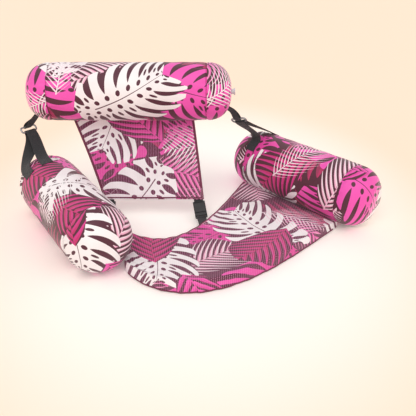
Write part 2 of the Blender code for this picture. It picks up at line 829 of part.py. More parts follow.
def build_socket(buckle, material):
    """Mould the socket: a flat box with a mouth, two side windows and a slot for webbing."""
    name = buckle.name + "_socket"
    half = BUCKLE_WIDTH / 2.0
    thick = BUCKLE_THICKNESS / 2.0
    low = (-half, TOUCH_GAP, -thick)
    mesh = box_mesh(name, low, (half, SOCKET_LENGTH, thick), BUCKLE_EDGE)
    obj = add_object(name, mesh, material, buckle.matrix)
    end_wall = SOCKET_LENGTH - 2.0 * BUCKLE_BAR - BUCKLE_SLOT
    inner = thick - BUCKLE_WALL
    room = cavity_half_width()
    cavity = helper_box(
        name + "_cavity", (-room, -CUT_OVERRUN, -inner), (room, end_wall, inner), buckle.matrix
    )
    window_low = (-half - CUT_OVERRUN, WINDOW_START, -inner)
    window_high = (half + CUT_OVERRUN, WINDOW_START + WINDOW_LENGTH, inner)
    windows = helper_box(name + "_windows", window_low, window_high, buckle.matrix)
    slot = webbing_slot(buckle, name + "_slot", SOCKET_LENGTH - BUCKLE_BAR - BUCKLE_SLOT)
    recesses = bar_recesses(buckle, name, SOCKET_LENGTH - BUCKLE_BAR - BUCKLE_SLOT, SOCKET_LENGTH + CUT_OVERRUN)
    for cutter in (cavity, windows, slot, *recesses):
        boolean(obj, cutter, "DIFFERENCE")
    return obj


def build_plug(buckle, material):
    """Mould the plug's base with its slot for webbing and its centre tongue."""
    name = buckle.name + "_plug"
    half = BUCKLE_WIDTH / 2.0
    thick = BUCKLE_THICKNESS / 2.0
    mesh = box_mesh(name, (-half, -PLUG_BASE_LENGTH, -thick), (half, 0.0, thick), BUCKLE_EDGE)
    obj = add_object(name, mesh, material, buckle.matrix)
    reach = WINDOW_START + WINDOW_LENGTH
    inner = thick - BUCKLE_WALL - BUCKLE_CLEARANCE
    tongue = helper_box(
        name + "_tongue",
        (-TONGUE_WIDTH / 2.0, -CUT_OVERRUN, -inner),
        (TONGUE_WIDTH / 2.0, reach, inner),
        buckle.matrix,
    )
    boolean(obj, tongue, "UNION")
    recesses = bar_recesses(buckle, name, -PLUG_BASE_LENGTH - CUT_OVERRUN, -PLUG_BASE_LENGTH + BUCKLE_BAR + BUCKLE_SLOT)
    for cutter in (webbing_slot(buckle, name + "_slot", -PLUG_BASE_LENGTH + BUCKLE_BAR), *recesses):
        boolean(obj, cutter, "DIFFERENCE")
    return obj


def build_prong(buckle, name, side, material):
    """Cut one springy prong: an arm with a button that fills the socket's side window."""
    outer = cavity_half_width() - BUCKLE_CLEARANCE
    inner = outer - PRONG_WIDTH
    button = BUCKLE_WIDTH / 2.0 - BUCKLE_CLEARANCE
    start = WINDOW_START + BUCKLE_CLEARANCE
    end = WINDOW_START + WINDOW_LENGTH - BUCKLE_CLEARANCE
    slope = button - outer
    outline = [
        (inner, PRONG_PIVOT_GAP),
        (outer, PRONG_PIVOT_GAP),
        (outer, start),
        (button, start + slope),
        (button, end - slope),
        (outer, end),
        (inner, end),
    ]
    pivot = ((inner + outer) / 2.0 * side, PRONG_PIVOT_GAP)
    curve = bpy.data.curves.new(name, "CURVE")
    curve.dimensions = "2D"
    curve.fill_mode = "BOTH"
    curve.extrude = BUCKLE_THICKNESS / 2.0 - BUCKLE_WALL - BUCKLE_CLEARANCE
    spline = curve.splines.new("POLY")
    spline.points.add(len(outline) - 1)
    for point, (x, y) in zip(spline.points, outline):
        point.co = (side * x - pivot[0], y - pivot[1], 0.0, 1.0)
    spline.use_cyclic_u = True
    curve.materials.append(material)
    prong = bpy.data.objects.new(name, curve)
    prong.matrix_world = buckle.matrix @ Matrix.Translation((*pivot, 0.0))
    bpy.data.collections[PARTS].objects.link(prong)
    return prong


def slot_loop(buckle, bar, inward):
    """Return points of webbing round a buckle's bar, from on top of it, through the slot, to below."""
    level = webbing_level()
    beside = BUCKLE_BAR / 2.0 + TOUCH_GAP + WEBBING_THICKNESS / 2.0
    corner = WEBBING_THICKNESS / 2.0
    inside = bar + inward * beside
    return [
        buckle.at(0.0, bar - inward * beside, level),
        buckle.at(0.0, inside - inward * corner, level),
        buckle.at(0.0, inside, level - corner),
        buckle.at(0.0, inside, corner - level),
        buckle.at(0.0, inside - inward * corner, -level),
        buckle.at(0.0, bar - inward * beside, -level),
    ]


def strap_stations(buckle, edge, plane_way, normal, clearance, bar, inward):
    """Return the stations of a strap sewn flat behind cloth and looped round one of a buckle's bars.

    Args:
        edge: middle of the line where the strap bends, in the middle of the cloth.
        plane_way: direction on the cloth that leads away from the buckle, square to X.
        normal: direction from the cloth to the strap.
        clearance: distance from the middle of the cloth to the middle of the nearer layer.
        bar: place of the bar along the buckle.
        inward: 1 or -1, the way along the buckle from the bar to its slot.
    """
    forward, across = buckle.unfolded(plane_way * -inward)
    outward = forward * -inward
    half = across * (BUCKLE_WEBBING / 2.0)
    cut = RIGHTWARD * (BUCKLE_WEBBING / 2.0 / abs(across.dot(RIGHTWARD)))
    between = (normal - buckle.top).normalized()
    layers = []
    for depth in (clearance, clearance + WEBBING_THICKNESS + TOUCH_GAP):
        sewn = [(edge + normal * depth + outward * (SEWN_TAIL * share), half) for share in (1.0, 0.5)]
        corner = edge + between * (depth / normal.dot(between))
        layers.append([*sewn, (corner, cut)])
    turn = [(point, buckle.across * (BUCKLE_WEBBING / 2.0)) for point in slot_loop(buckle, bar, inward)]
    return [*layers[0], *turn, *reversed(layers[1])]


def build_panel_strap(buckle, panel, across, name, material):
    """Join a socket to the panel: round the socket's bar, with both ends flat behind the panel."""
    edge = panel.surface(across, 1.0)
    above = panel.surface(across, 1.0 - 1.0 / (Panel.ROWS - 1)) - edge
    above.x = 0.0
    above.normalize()
    normal = above.cross(RIGHTWARD)
    if normal.y < 0.0:
        normal.negate()
    bar = SOCKET_LENGTH - BUCKLE_BAR / 2.0
    clearance = sewn_clearance(PANEL_CLOTH)
    ribbon(name, strap_stations(buckle, edge, above, normal, clearance, bar, -1.0), material)


def build_seat_strap(buckle, edge, name, material):
    """Join a plug to the sling: round the plug's bar, with both ends flat under the sling."""
    bar = BUCKLE_BAR / 2.0 - PLUG_BASE_LENGTH
    clearance = sewn_clearance(SEAT_CLOTH)
    toward_front = Vector((0.0, -1.0, 0.0))
    ribbon(name, strap_stations(buckle, edge, toward_front, -UP, clearance, bar, 1.0), material)


def build_buckles(panel, seat, materials):
    """Make both lower straps with their buckles."""
    for side, panel_share, seat_share in (("left", 0.050, 0.180), ("right", 0.945, 0.740)):
        panel_end = panel.surface(panel_share, 1.0)
        seat_end = seat.surface(seat_share, 0.0)
        lead = panel_end - seat_end
        lead.z = 0.0
        seat_end += lead.normalized() * BUCKLE_SEAT_LEAD
        seat_end.z -= 2.0 * TOUCH_GAP
        buckle = Buckle(side + "_buckle", panel_end, seat_end)
        build_socket(buckle, materials["buckle"])
        build_plug(buckle, materials["buckle"])
        build_prong(buckle, side + "_buckle_prong_a", -1.0, materials["buckle"])
        build_prong(buckle, side + "_buckle_prong_b", 1.0, materials["buckle"])
        build_panel_strap(buckle, panel, panel_share, side + "_panel_strap", materials["webbing"])
        build_seat_strap(buckle, seat_end, side + "_seat_strap", materials["webbing"])


def build_side_links(bolsters, seat, materials):
    """Join the back bolster's ends to the arms: a tab, a ring and a webbing loop on each side."""
    back = bolsters["back"]
    rings = []
    sides = (
        ("left", bolsters["left"], seat.left_inward, LEFT_LINK),
        ("right", bolsters["right"], seat.right_inward, RIGHT_LINK),
    )
    for side, arm, inward, link in sides:
        centre = back.centre + Vector(link["ring"])
        ring = SideRing(side + "_side_ring", centre, link["bar_way"], link["hang_way"])
        build_ring(ring, materials["ring"])
        build_tab(ring, side + "_side_tab", back, link, materials["webbing"])
        build_side_strap(ring, side + "_side_strap", arm, inward, link, materials["webbing"])
        rings.append(ring)
    return rings


def add_pivot(name, place, children):
    """Parent a moving body's pieces to an empty on its joint's axis."""
    empty = bpy.data.objects.new(name, None)
    empty.location = place
    empty.empty_display_size = BUCKLE_WIDTH
    bpy.data.collections[PARTS].objects.link(empty)
    for child in children:
        obj = bpy.data.objects[child]
        obj.parent = empty
        obj.matrix_parent_inverse = Matrix.Translation(-Vector(place))


def add_pivots(bolsters, panel, rings):
    """Put the pieces that turn on an axis away from their own origin onto empties there."""
    back = ("sleeve", "near_cap", "far_cap", "bladder", "valve_stem", "panel")
    names = ["back_" + piece for piece in back] + ["left_side_tab", "right_side_tab"]
    add_pivot("back_fold_axis", panel.bottom_middle, names)
    for ring in rings:
        add_pivot(ring.name + "_axis", ring.upper_bar(), [ring.name])
    for bolster in bolsters.values():
        rim = valve_levels(bolster)[1] + TOUCH_GAP
        place = bolster.far_matrix @ Vector((STOPPER_HINGE_OFFSET, 0.0, rim))
        add_pivot(bolster.name + "_valve_cap_axis", place, [bolster.name + "_valve_cap"])


def main():
    """Build the chair."""
    clear_scene()
    materials = make_materials()
    bolsters = make_bolsters()
    for bolster in bolsters.values():
        build_bolster(bolster, materials)
    seat = Seat(bolsters)
    build_seat(seat, materials["mesh"])
    panel = Panel(bolsters)
    build_panel(panel, materials["mesh"])
    build_buckles(panel, seat, materials)
    rings = build_side_links(bolsters, seat, materials)
    add_pivots(bolsters, panel, rings)


main()
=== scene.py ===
"""Looks of the inflatable pool chair: printed bolsters, a mesh sling and panel, webbing, rings and buckles.

Every length is in metres. The chair stands on its two arm bolsters, front towards -Y.
"""

from __future__ import annotations

import json
import logging
import math
from collections.abc import Callable, Mapping, Sequence
from dataclasses import dataclass, field
from enum import Enum

import bpy
import numpy as np
from bpy.types import Material, Mesh, Node, NodeSocket, NodeTree, Object
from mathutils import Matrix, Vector

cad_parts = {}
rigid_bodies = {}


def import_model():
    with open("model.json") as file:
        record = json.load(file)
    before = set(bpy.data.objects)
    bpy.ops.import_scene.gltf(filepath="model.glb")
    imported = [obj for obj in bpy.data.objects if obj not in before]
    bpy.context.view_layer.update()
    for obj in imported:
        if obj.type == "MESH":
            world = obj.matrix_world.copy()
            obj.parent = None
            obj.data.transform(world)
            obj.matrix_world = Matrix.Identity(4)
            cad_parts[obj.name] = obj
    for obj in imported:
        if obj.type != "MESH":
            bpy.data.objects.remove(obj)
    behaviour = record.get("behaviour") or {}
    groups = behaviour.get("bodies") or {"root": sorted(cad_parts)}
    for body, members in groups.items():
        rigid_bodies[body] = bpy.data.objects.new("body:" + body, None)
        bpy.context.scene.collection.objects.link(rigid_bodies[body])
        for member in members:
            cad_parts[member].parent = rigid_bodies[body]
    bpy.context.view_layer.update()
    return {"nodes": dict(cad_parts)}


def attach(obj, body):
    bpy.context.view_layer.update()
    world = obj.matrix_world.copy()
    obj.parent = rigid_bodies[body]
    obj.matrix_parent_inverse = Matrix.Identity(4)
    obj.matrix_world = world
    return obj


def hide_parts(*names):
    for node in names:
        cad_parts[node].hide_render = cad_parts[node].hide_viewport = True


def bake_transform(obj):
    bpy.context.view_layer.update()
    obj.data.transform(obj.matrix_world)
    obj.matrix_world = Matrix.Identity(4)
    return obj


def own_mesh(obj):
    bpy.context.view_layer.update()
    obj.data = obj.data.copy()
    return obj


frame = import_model()

log = logging.getLogger("pool_chair")

UP = Vector((0.0, 0.0, 1.0))
RIGHTWARD = Vector((1.0, 0.0, 0.0))
BACKWARD = Vector((0.0, 1.0, 0.0))
TOUCH_GAP = 0.0003
WELD_REACH = 0.00002
FACETS = 32
IMAGE_SIDE = 416.0
ARM_RADIUS = 0.100
ARM_LENGTH = 0.560
ARM_CAP_DEPTH = 0.085

Colour = tuple[float, float, float, float]
Station = tuple[Vector, Vector]


class Slot(Enum):
    """Names of the record's material slots."""

    SATIN = "printed_satin"
    MESH = "printed_mesh"
    BLADDER = "clear_vinyl"
    WEBBING = "black_webbing"
    RING = "silver_ring"


def shade(red: int, green: int, blue: int) -> Colour:
    """Turn an 8-bit screen colour into the linear colour that shaders take.

    Args:
        red: 0 to 255.
        green: 0 to 255.
        blue: 0 to 255.

    Returns:
        The linear colour, with alpha 1.
    """
    linear = []
    for part in (red, green, blue):
        value = part / 255.0
        linear.append(value / 12.92 if value <= 0.04045 else ((value + 0.055) / 1.055) ** 2.4)
    return (*linear, 1.0)


def math_node(tree: NodeTree, operation: str, values: Sequence[Term | float], clamp: bool = False) -> Term:
    """Add one Math node.

    Args:
        tree: the node tree.
        operation: the node's operation.
        values: its numbers, linked or plain.
        clamp: whether the result is held between 0 and 1.

    Returns:
        The result.
    """
    inputs = dict(enumerate(values))
    return Term(tree, Sketch(tree).made("ShaderNodeMath", inputs, operation=operation, use_clamp=clamp))


def math_method(operation: str) -> Callable[..., Term]:
    """Make a method that joins a Term and other values in one Math node.

    Args:
        operation: the node's operation.

    Returns:
        The method.
    """
    def method(self: Term, *others: Term | float) -> Term:
        """Return the result of the operation."""
        return math_node(self.tree, operation, (self, *others))

    return method


@dataclass
class Term:
    """A number flowing through a material, written with plain arithmetic."""

    tree: NodeTree
    socket: NodeSocket

    __add__ = __radd__ = math_method("ADD")
    __sub__ = math_method("SUBTRACT")
    __mul__ = __rmul__ = math_method("MULTIPLY")
    __truediv__ = math_method("DIVIDE")
    __pow__ = math_method("POWER")
    __lt__ = math_method("LESS_THAN")
    __gt__ = math_method("GREATER_THAN")
    __abs__ = math_method("ABSOLUTE")
    least = math_method("MINIMUM")
    most = math_method("MAXIMUM")
    sine = math_method("SINE")
    fraction = math_method("FRACT")
    floor = math_method("FLOOR")

    def __rsub__(self, other: float) -> Term:
        """Take this from a plain number."""
        return math_node(self.tree, "SUBTRACT", (other, self))

    def clamped(self) -> Term:
        """Return this, held between 0 and 1."""
        return math_node(self.tree, "ADD", (self, 0.0), True)


class Sketch:
    """A node tree under construction, with short ways to add what the finishes share."""

    def __init__(self, tree: NodeTree) -> None:
        """Work on this tree."""
        self.tree = tree

    def new(self, kind: str, inputs: Mapping[int | str, object] | None = None, **settings: object) -> Node:
        """Add a node, set its options and feed its inputs.

        Args:
            kind: the node's type.
            inputs: what goes into its inputs, by number or name. What is None is left out.
            settings: its options.

        Returns:
            The node.
        """
        node = self.tree.nodes.new(kind)
        for name, value in settings.items():
            setattr(node, name, value)
        self.fill(node, inputs or {})
        return node

    def made(self, kind: str, inputs: Mapping[int | str, object], **settings: object) -> NodeSocket:
        """Add a node and return its first output."""
        return self.new(kind, inputs, **settings).outputs[0]

    def fill(self, node: Node, inputs: Mapping[int | str, object]) -> None:
        """Link Terms and sockets to a node's inputs, and set plain values on them.

        Args:
            node: the node.
            inputs: what goes into its inputs, by number or name. What is None is left out.
        """
        for key, value in inputs.items():
            given = value.socket if isinstance(value, Term) else value
            if isinstance(given, NodeSocket):
                self.tree.links.new(given, node.inputs[key])
            elif given is not None:
                node.inputs[key].default_value = given

    def term(self, socket: NodeSocket) -> Term:
        """Wrap a socket."""
        return Term(self.tree, socket)

    def vector(self, operation: str, first: object, second: object = None) -> NodeSocket:
        """Return the result of one Vector Math node."""
        return self.made("ShaderNodeVectorMath", {0: first, 1: second}, operation=operation)

    def split(self, vector: NodeSocket) -> tuple[Term, ...]:
        """Return a vector's three numbers."""
        return tuple(self.term(output) for output in self.new("ShaderNodeSeparateXYZ", {0: vector}).outputs)

    def joined(self, x: object, y: object, z: object = 0.0) -> NodeSocket:
        """Return a vector made of three numbers."""
        return self.made("ShaderNodeCombineXYZ", {0: x, 1: y, 2: z})

    def turned(self, vector: object, angle: object) -> NodeSocket:
        """Return a vector turned about Z."""
        inputs = {"Vector": vector, "Angle": angle}
        return self.made("ShaderNodeVectorRotate", inputs, rotation_type="Z_AXIS")

    def mix(self, share: object, under: object, over: object, blend: str = "MIX") -> NodeSocket:
        """Lay one colour over another by a share."""
        inputs = {"Factor": share, 6: under, 7: over}
        return self.new("ShaderNodeMix", inputs, data_type="RGBA", blend_type=blend).outputs[2]

    def ramp(self, value: object, low: float, high: float, start: float = 0.0, end: float = 1.0) -> Term:
        """Return a smooth step of a value from start to end between two levels."""
        inputs = dict(enumerate((value, low, high, start, end)))
        return self.term(self.made("ShaderNodeMapRange", inputs, interpolation_type="SMOOTHSTEP"))

    def noise(self, vector: object, scale: float, detail: float = 2.0) -> Term:
        """Return soft noise from about 0 to 1."""
        inputs = {"Vector": vector, "Scale": scale, "Detail": detail}
        return self.term(self.made("ShaderNodeTexNoise", inputs))

    def bump(self, height: object, strength: float, distance: float, under: object = None) -> NodeSocket:
        """Return a normal raised by a height in metres times distance."""
        inputs = {"Strength": strength, "Distance": distance, "Height": height, "Normal": under}
        return self.made("ShaderNodeBump", inputs)


class Motif(Enum):
    """The two generic leaf forms of the print."""

    SPLIT_LEAF = "split_leaf"
    FROND = "frond"


@dataclass(frozen=True)
class LeafForm:
    """Shape of a leaf on a square of side 1, with its midrib along x."""

    ribs: float
    sweep: float
    half_width: float


def group_tree(name: str, inputs: Sequence[tuple[str, str]], outputs: Sequence[tuple[str, str]],
               kind: str = "ShaderNodeTree") -> Sketch:
    """Make an empty node group.

    Args:
        name: the group's name.
        inputs: (name, socket type) of each input.
        outputs: (name, socket type) of each output.
        kind: the tree's type.

    Returns:
        A sketch on the group's tree, with the group's input as its first node.
    """
    tree = bpy.data.node_groups.new(name, kind)
    for way, sockets in (("INPUT", inputs), ("OUTPUT", outputs)):
        for label, socket_type in sockets:
            tree.interface.new_socket(label, in_out=way, socket_type=socket_type)
    sketch = Sketch(tree)
    sketch.new("NodeGroupInput")
    return sketch


VECTOR_SOCKET = "NodeSocketVector"
FLOAT_SOCKET = "NodeSocketFloat"
SHAPE_SOCKET = "NodeSocketGeometry"


def close_group(sketch: Sketch, values: Sequence[object]) -> NodeTree:
    """Send values to a group's outputs and return its tree."""
    sketch.new("NodeGroupOutput", dict(enumerate(values)))
    return sketch.tree


LEAF_OUTPUTS = [("Mask", FLOAT_SOCKET), ("Outline", FLOAT_SOCKET), ("Tone", FLOAT_SOCKET)]


def split_leaf_group() -> NodeTree:
    """Draw a broad leaf with rounded lobes, open slits and closed teardrop holes.

    Returns:
        The motif's node group.
    """
    sketch = group_tree("split_leaf", [("Place", VECTOR_SOCKET)], LEAF_OUTPUTS)
    x, y, _ = sketch.split(sketch.tree.nodes["Group Input"].outputs[0])
    form = LeafForm(ribs=7.6, sweep=1.15, half_width=0.50)
    from_middle = x - 0.5
    bent = y + from_middle * from_middle * 0.16 - 0.013
    across = abs(bent)
    root = x + 0.02 - across * (x * form.sweep - 0.30) - across * across * 0.40
    middle = (root - 0.42) / 0.58
    reach = ((1.0 - middle * middle).most(0.0001) ** 0.55) * (form.half_width - root * 0.06)
    out = across / reach
    side = bent > 0.0
    count = root * form.ribs + side * 0.45
    rib = count.fraction() - 0.5
    from_rib = abs(rib)
    from_gap = 0.5 - from_rib
    pick = (((count.floor() + side * 5.0) * 2.4).sine() * 7.3).fraction()
    lobe = 1.0 - ((from_rib * 2.0) ** 2.6) * 0.20
    outline = (out < lobe) * (abs(middle) < 1.0)
    slit_reach = (pick > 0.42) * 0.82 + 0.63
    along = ((out - 0.30) / slit_reach).clamped()
    slit = ((along**0.75) * math.pi).sine() * 0.25
    near_eye = (((out - 0.17) / 0.075) ** 2.0 + (from_gap / 0.20) ** 2.0) < 1.0
    far_eye = ((((out - 0.40) / 0.10) ** 2.0 + (from_rib / 0.11) ** 2.0) < 1.0) * (pick < 0.6)
    midrib = (across < (1.0 - x) * 0.006 + 0.002) * (x > 0.03) * (x < 0.97)
    holes = (from_gap < slit).most(near_eye).most(far_eye).most(midrib)
    tone = (out * 0.75 + x * 0.25).clamped()
    return close_group(sketch, [outline * (1.0 - holes), outline, tone])


def frond_group() -> NodeTree:
    """Draw a palm frond: a bent midrib and pointed leaflets, each with a lit and a dark half.

    Returns:
        The motif's node group.
    """
    inputs = [("Place", VECTOR_SOCKET), ("Leaflets", FLOAT_SOCKET), ("Fullness", FLOAT_SOCKET)]
    sketch = group_tree("frond", inputs, LEAF_OUTPUTS)
    start = sketch.tree.nodes["Group Input"]
    x, y, _ = sketch.split(start.outputs[0])
    from_middle = x - 0.5
    bent = y + from_middle * from_middle * 0.28 - 0.035
    across = abs(bent)
    root = x - across * 0.80 - across * across * 0.75
    reach = (((root.clamped() * 0.91 + 0.07) ** 0.68) * math.pi).sine() * 0.37
    out = across / reach.most(0.0001)
    rib = (root * sketch.term(start.outputs[1]) + (bent > 0.0) * 0.5).fraction() - 0.5
    taper = (1.0 - out).most(0.0) ** 0.6
    width = taper * sketch.term(start.outputs[2]) * (out * 6.0 + 0.5).least(1.0)
    within = (root > 0.0) * (root < 0.985)
    leaflet = (abs(rib) < width) * within
    stem = (across < (1.02 - x) * 0.009) * (x > 0.0) * (x < 1.0)
    tone = ((rib > 0.0) * 0.55 + out * 0.45).clamped()
    return close_group(sketch, [leaflet.most(stem), (out < 0.94) * within, tone])


@dataclass(frozen=True)
class PrintLayer:
    """One layer of the print: a brick lattice of one motif, turned and tinted leaf by leaf."""

    motif: Motif
    cell: tuple[float, float]
    shift: tuple[float, float]
    lean: float
    size: float
    tints: tuple[Colour, Colour]
    other_tints: tuple[Colour, Colour]
    kept: float = 1.0
    leaflets: float = 15.0
    fullness: float = 0.40
    backed: bool = True


PLUM = shade(82, 26, 48)
DEEP_RASPBERRY = shade(150, 45, 85)
RASPBERRY = shade(196, 40, 104)
MAGENTA = shade(222, 52, 150)
HOT_PINK = shade(244, 84, 186)
LIGHT_PINK = shade(249, 178, 208)
WHITE = shade(250, 246, 248)

PRINT_LAYERS = (
    PrintLayer(
        Motif.FROND, (0.300, 0.285), (0.05, 0.02), 0.3, 0.272, (RASPBERRY, DEEP_RASPBERRY),
        (DEEP_RASPBERRY, RASPBERRY), leaflets=7.0, fullness=0.46,
    ),
    PrintLayer(
        Motif.SPLIT_LEAF, (0.310, 0.300), (0.10, 0.13), -0.5, 0.245, (MAGENTA, HOT_PINK),
        (HOT_PINK, HOT_PINK), kept=0.80,
    ),
    PrintLayer(
        Motif.FROND, (0.300, 0.290), (0.27, 0.18), 0.9, 0.270, (LIGHT_PINK, WHITE), (HOT_PINK, LIGHT_PINK),
        kept=0.72, leaflets=13.0, fullness=0.33,
    ),
    PrintLayer(
        Motif.SPLIT_LEAF, (0.330, 0.310), (0.29, 0.03), -0.2, 0.250, (WHITE, WHITE), (WHITE, WHITE),
        kept=0.50,
    ),
    PrintLayer(
        Motif.FROND, (0.290, 0.330), (0.28, 0.21), 0.6, 0.245, (RASPBERRY, MAGENTA),
        (HOT_PINK, MAGENTA), kept=0.45, leaflets=9.0, fullness=0.38,
    ),
    PrintLayer(
        Motif.FROND, (0.270, 0.320), (0.08, 0.31), -0.8, 0.225, (WHITE, WHITE), (WHITE, LIGHT_PINK),
        kept=0.45, leaflets=15.0, fullness=0.20, backed=False,
    ),
)


class LeafPrint:
    """The all-over print of generic leaves: a node group that gives a place on the cloth its colour."""

    def __init__(self) -> None:
        """Make the motif groups and the print group."""
        self.motifs = {Motif.SPLIT_LEAF: split_leaf_group(), Motif.FROND: frond_group()}
        self.middles = {Motif.SPLIT_LEAF: 0.54, Motif.FROND: 0.50}
        self.tree = self.build()

    def build(self) -> NodeTree:
        """Stack the layers on the plum ground.

        Returns:
            The print's node group.
        """
        sketch = group_tree("leaf_print", [("Place", VECTOR_SOCKET)], [("Color", "NodeSocketColor")])
        place = sketch.tree.nodes["Group Input"].outputs[0]
        colour: object = PLUM
        for number, layer in enumerate(PRINT_LAYERS):
            colour = self.lay(sketch, place, layer, number, colour)
        return close_group(sketch, [colour])

    def lay(self, sketch: Sketch, place: object, layer: PrintLayer, number: int, under: object) -> object:
        """Lay one layer of leaves over a colour.

        Args:
            sketch: the print group's tree.
            place: the place on the cloth, in metres.
            layer: what to lay.
            number: the layer's number, which seeds its leaves.
            under: the colour below.

        Returns:
            The colour with the layer on top.
        """
        cell = (*layer.cell, 1.0)
        plane = sketch.turned(sketch.vector("ADD", place, (*layer.shift, 0.0)), layer.lean)
        column, row, _ = sketch.split(sketch.vector("DIVIDE", plane, cell))
        grid = sketch.joined(column, row + (column.floor() * 0.5).fraction())
        whole = sketch.vector("FLOOR", grid)
        from_middle = sketch.vector("SUBTRACT", sketch.vector("FRACTION", grid), (0.5, 0.5, 0.0))
        local = sketch.vector("MULTIPLY", from_middle, cell)
        seed = sketch.vector("ADD", whole, (0.5, 0.5, 3.7 + number))
        chance = sketch.new("ShaderNodeTexWhiteNoise", {"Vector": seed}, noise_dimensions="3D")
        first, second, third = sketch.split(chance.outputs["Color"])
        turn = sketch.turned(local, first * math.tau)
        scaled = sketch.vector("MULTIPLY", turn, (1.0 / layer.size, 1.0 / layer.size, 0.0))
        inputs = {"Place": sketch.vector("ADD", scaled, (self.middles[layer.motif], 0.0, 0.0))}
        if layer.motif is Motif.FROND:
            inputs |= {"Leaflets": layer.leaflets, "Fullness": layer.fullness}
        leaf = sketch.new("ShaderNodeGroup", inputs, node_tree=self.motifs[layer.motif])
        tone, kept = sketch.term(leaf.outputs["Tone"]), third < layer.kept
        tint = sketch.mix(tone, *layer.tints)
        if layer.other_tints != layer.tints:
            tint = sketch.mix(second < 0.5, tint, sketch.mix(tone, *layer.other_tints))
        if layer.backed:
            under = sketch.mix(sketch.term(leaf.outputs["Outline"]) * kept, under, PLUM)
        return sketch.mix(sketch.term(leaf.outputs["Mask"]) * kept, under, tint)


@dataclass(frozen=True)
class Cloth:
    """Numbers of one printed cloth."""

    name: str
    roughness: float
    sheen: float
    thread: float
    ribbed: bool


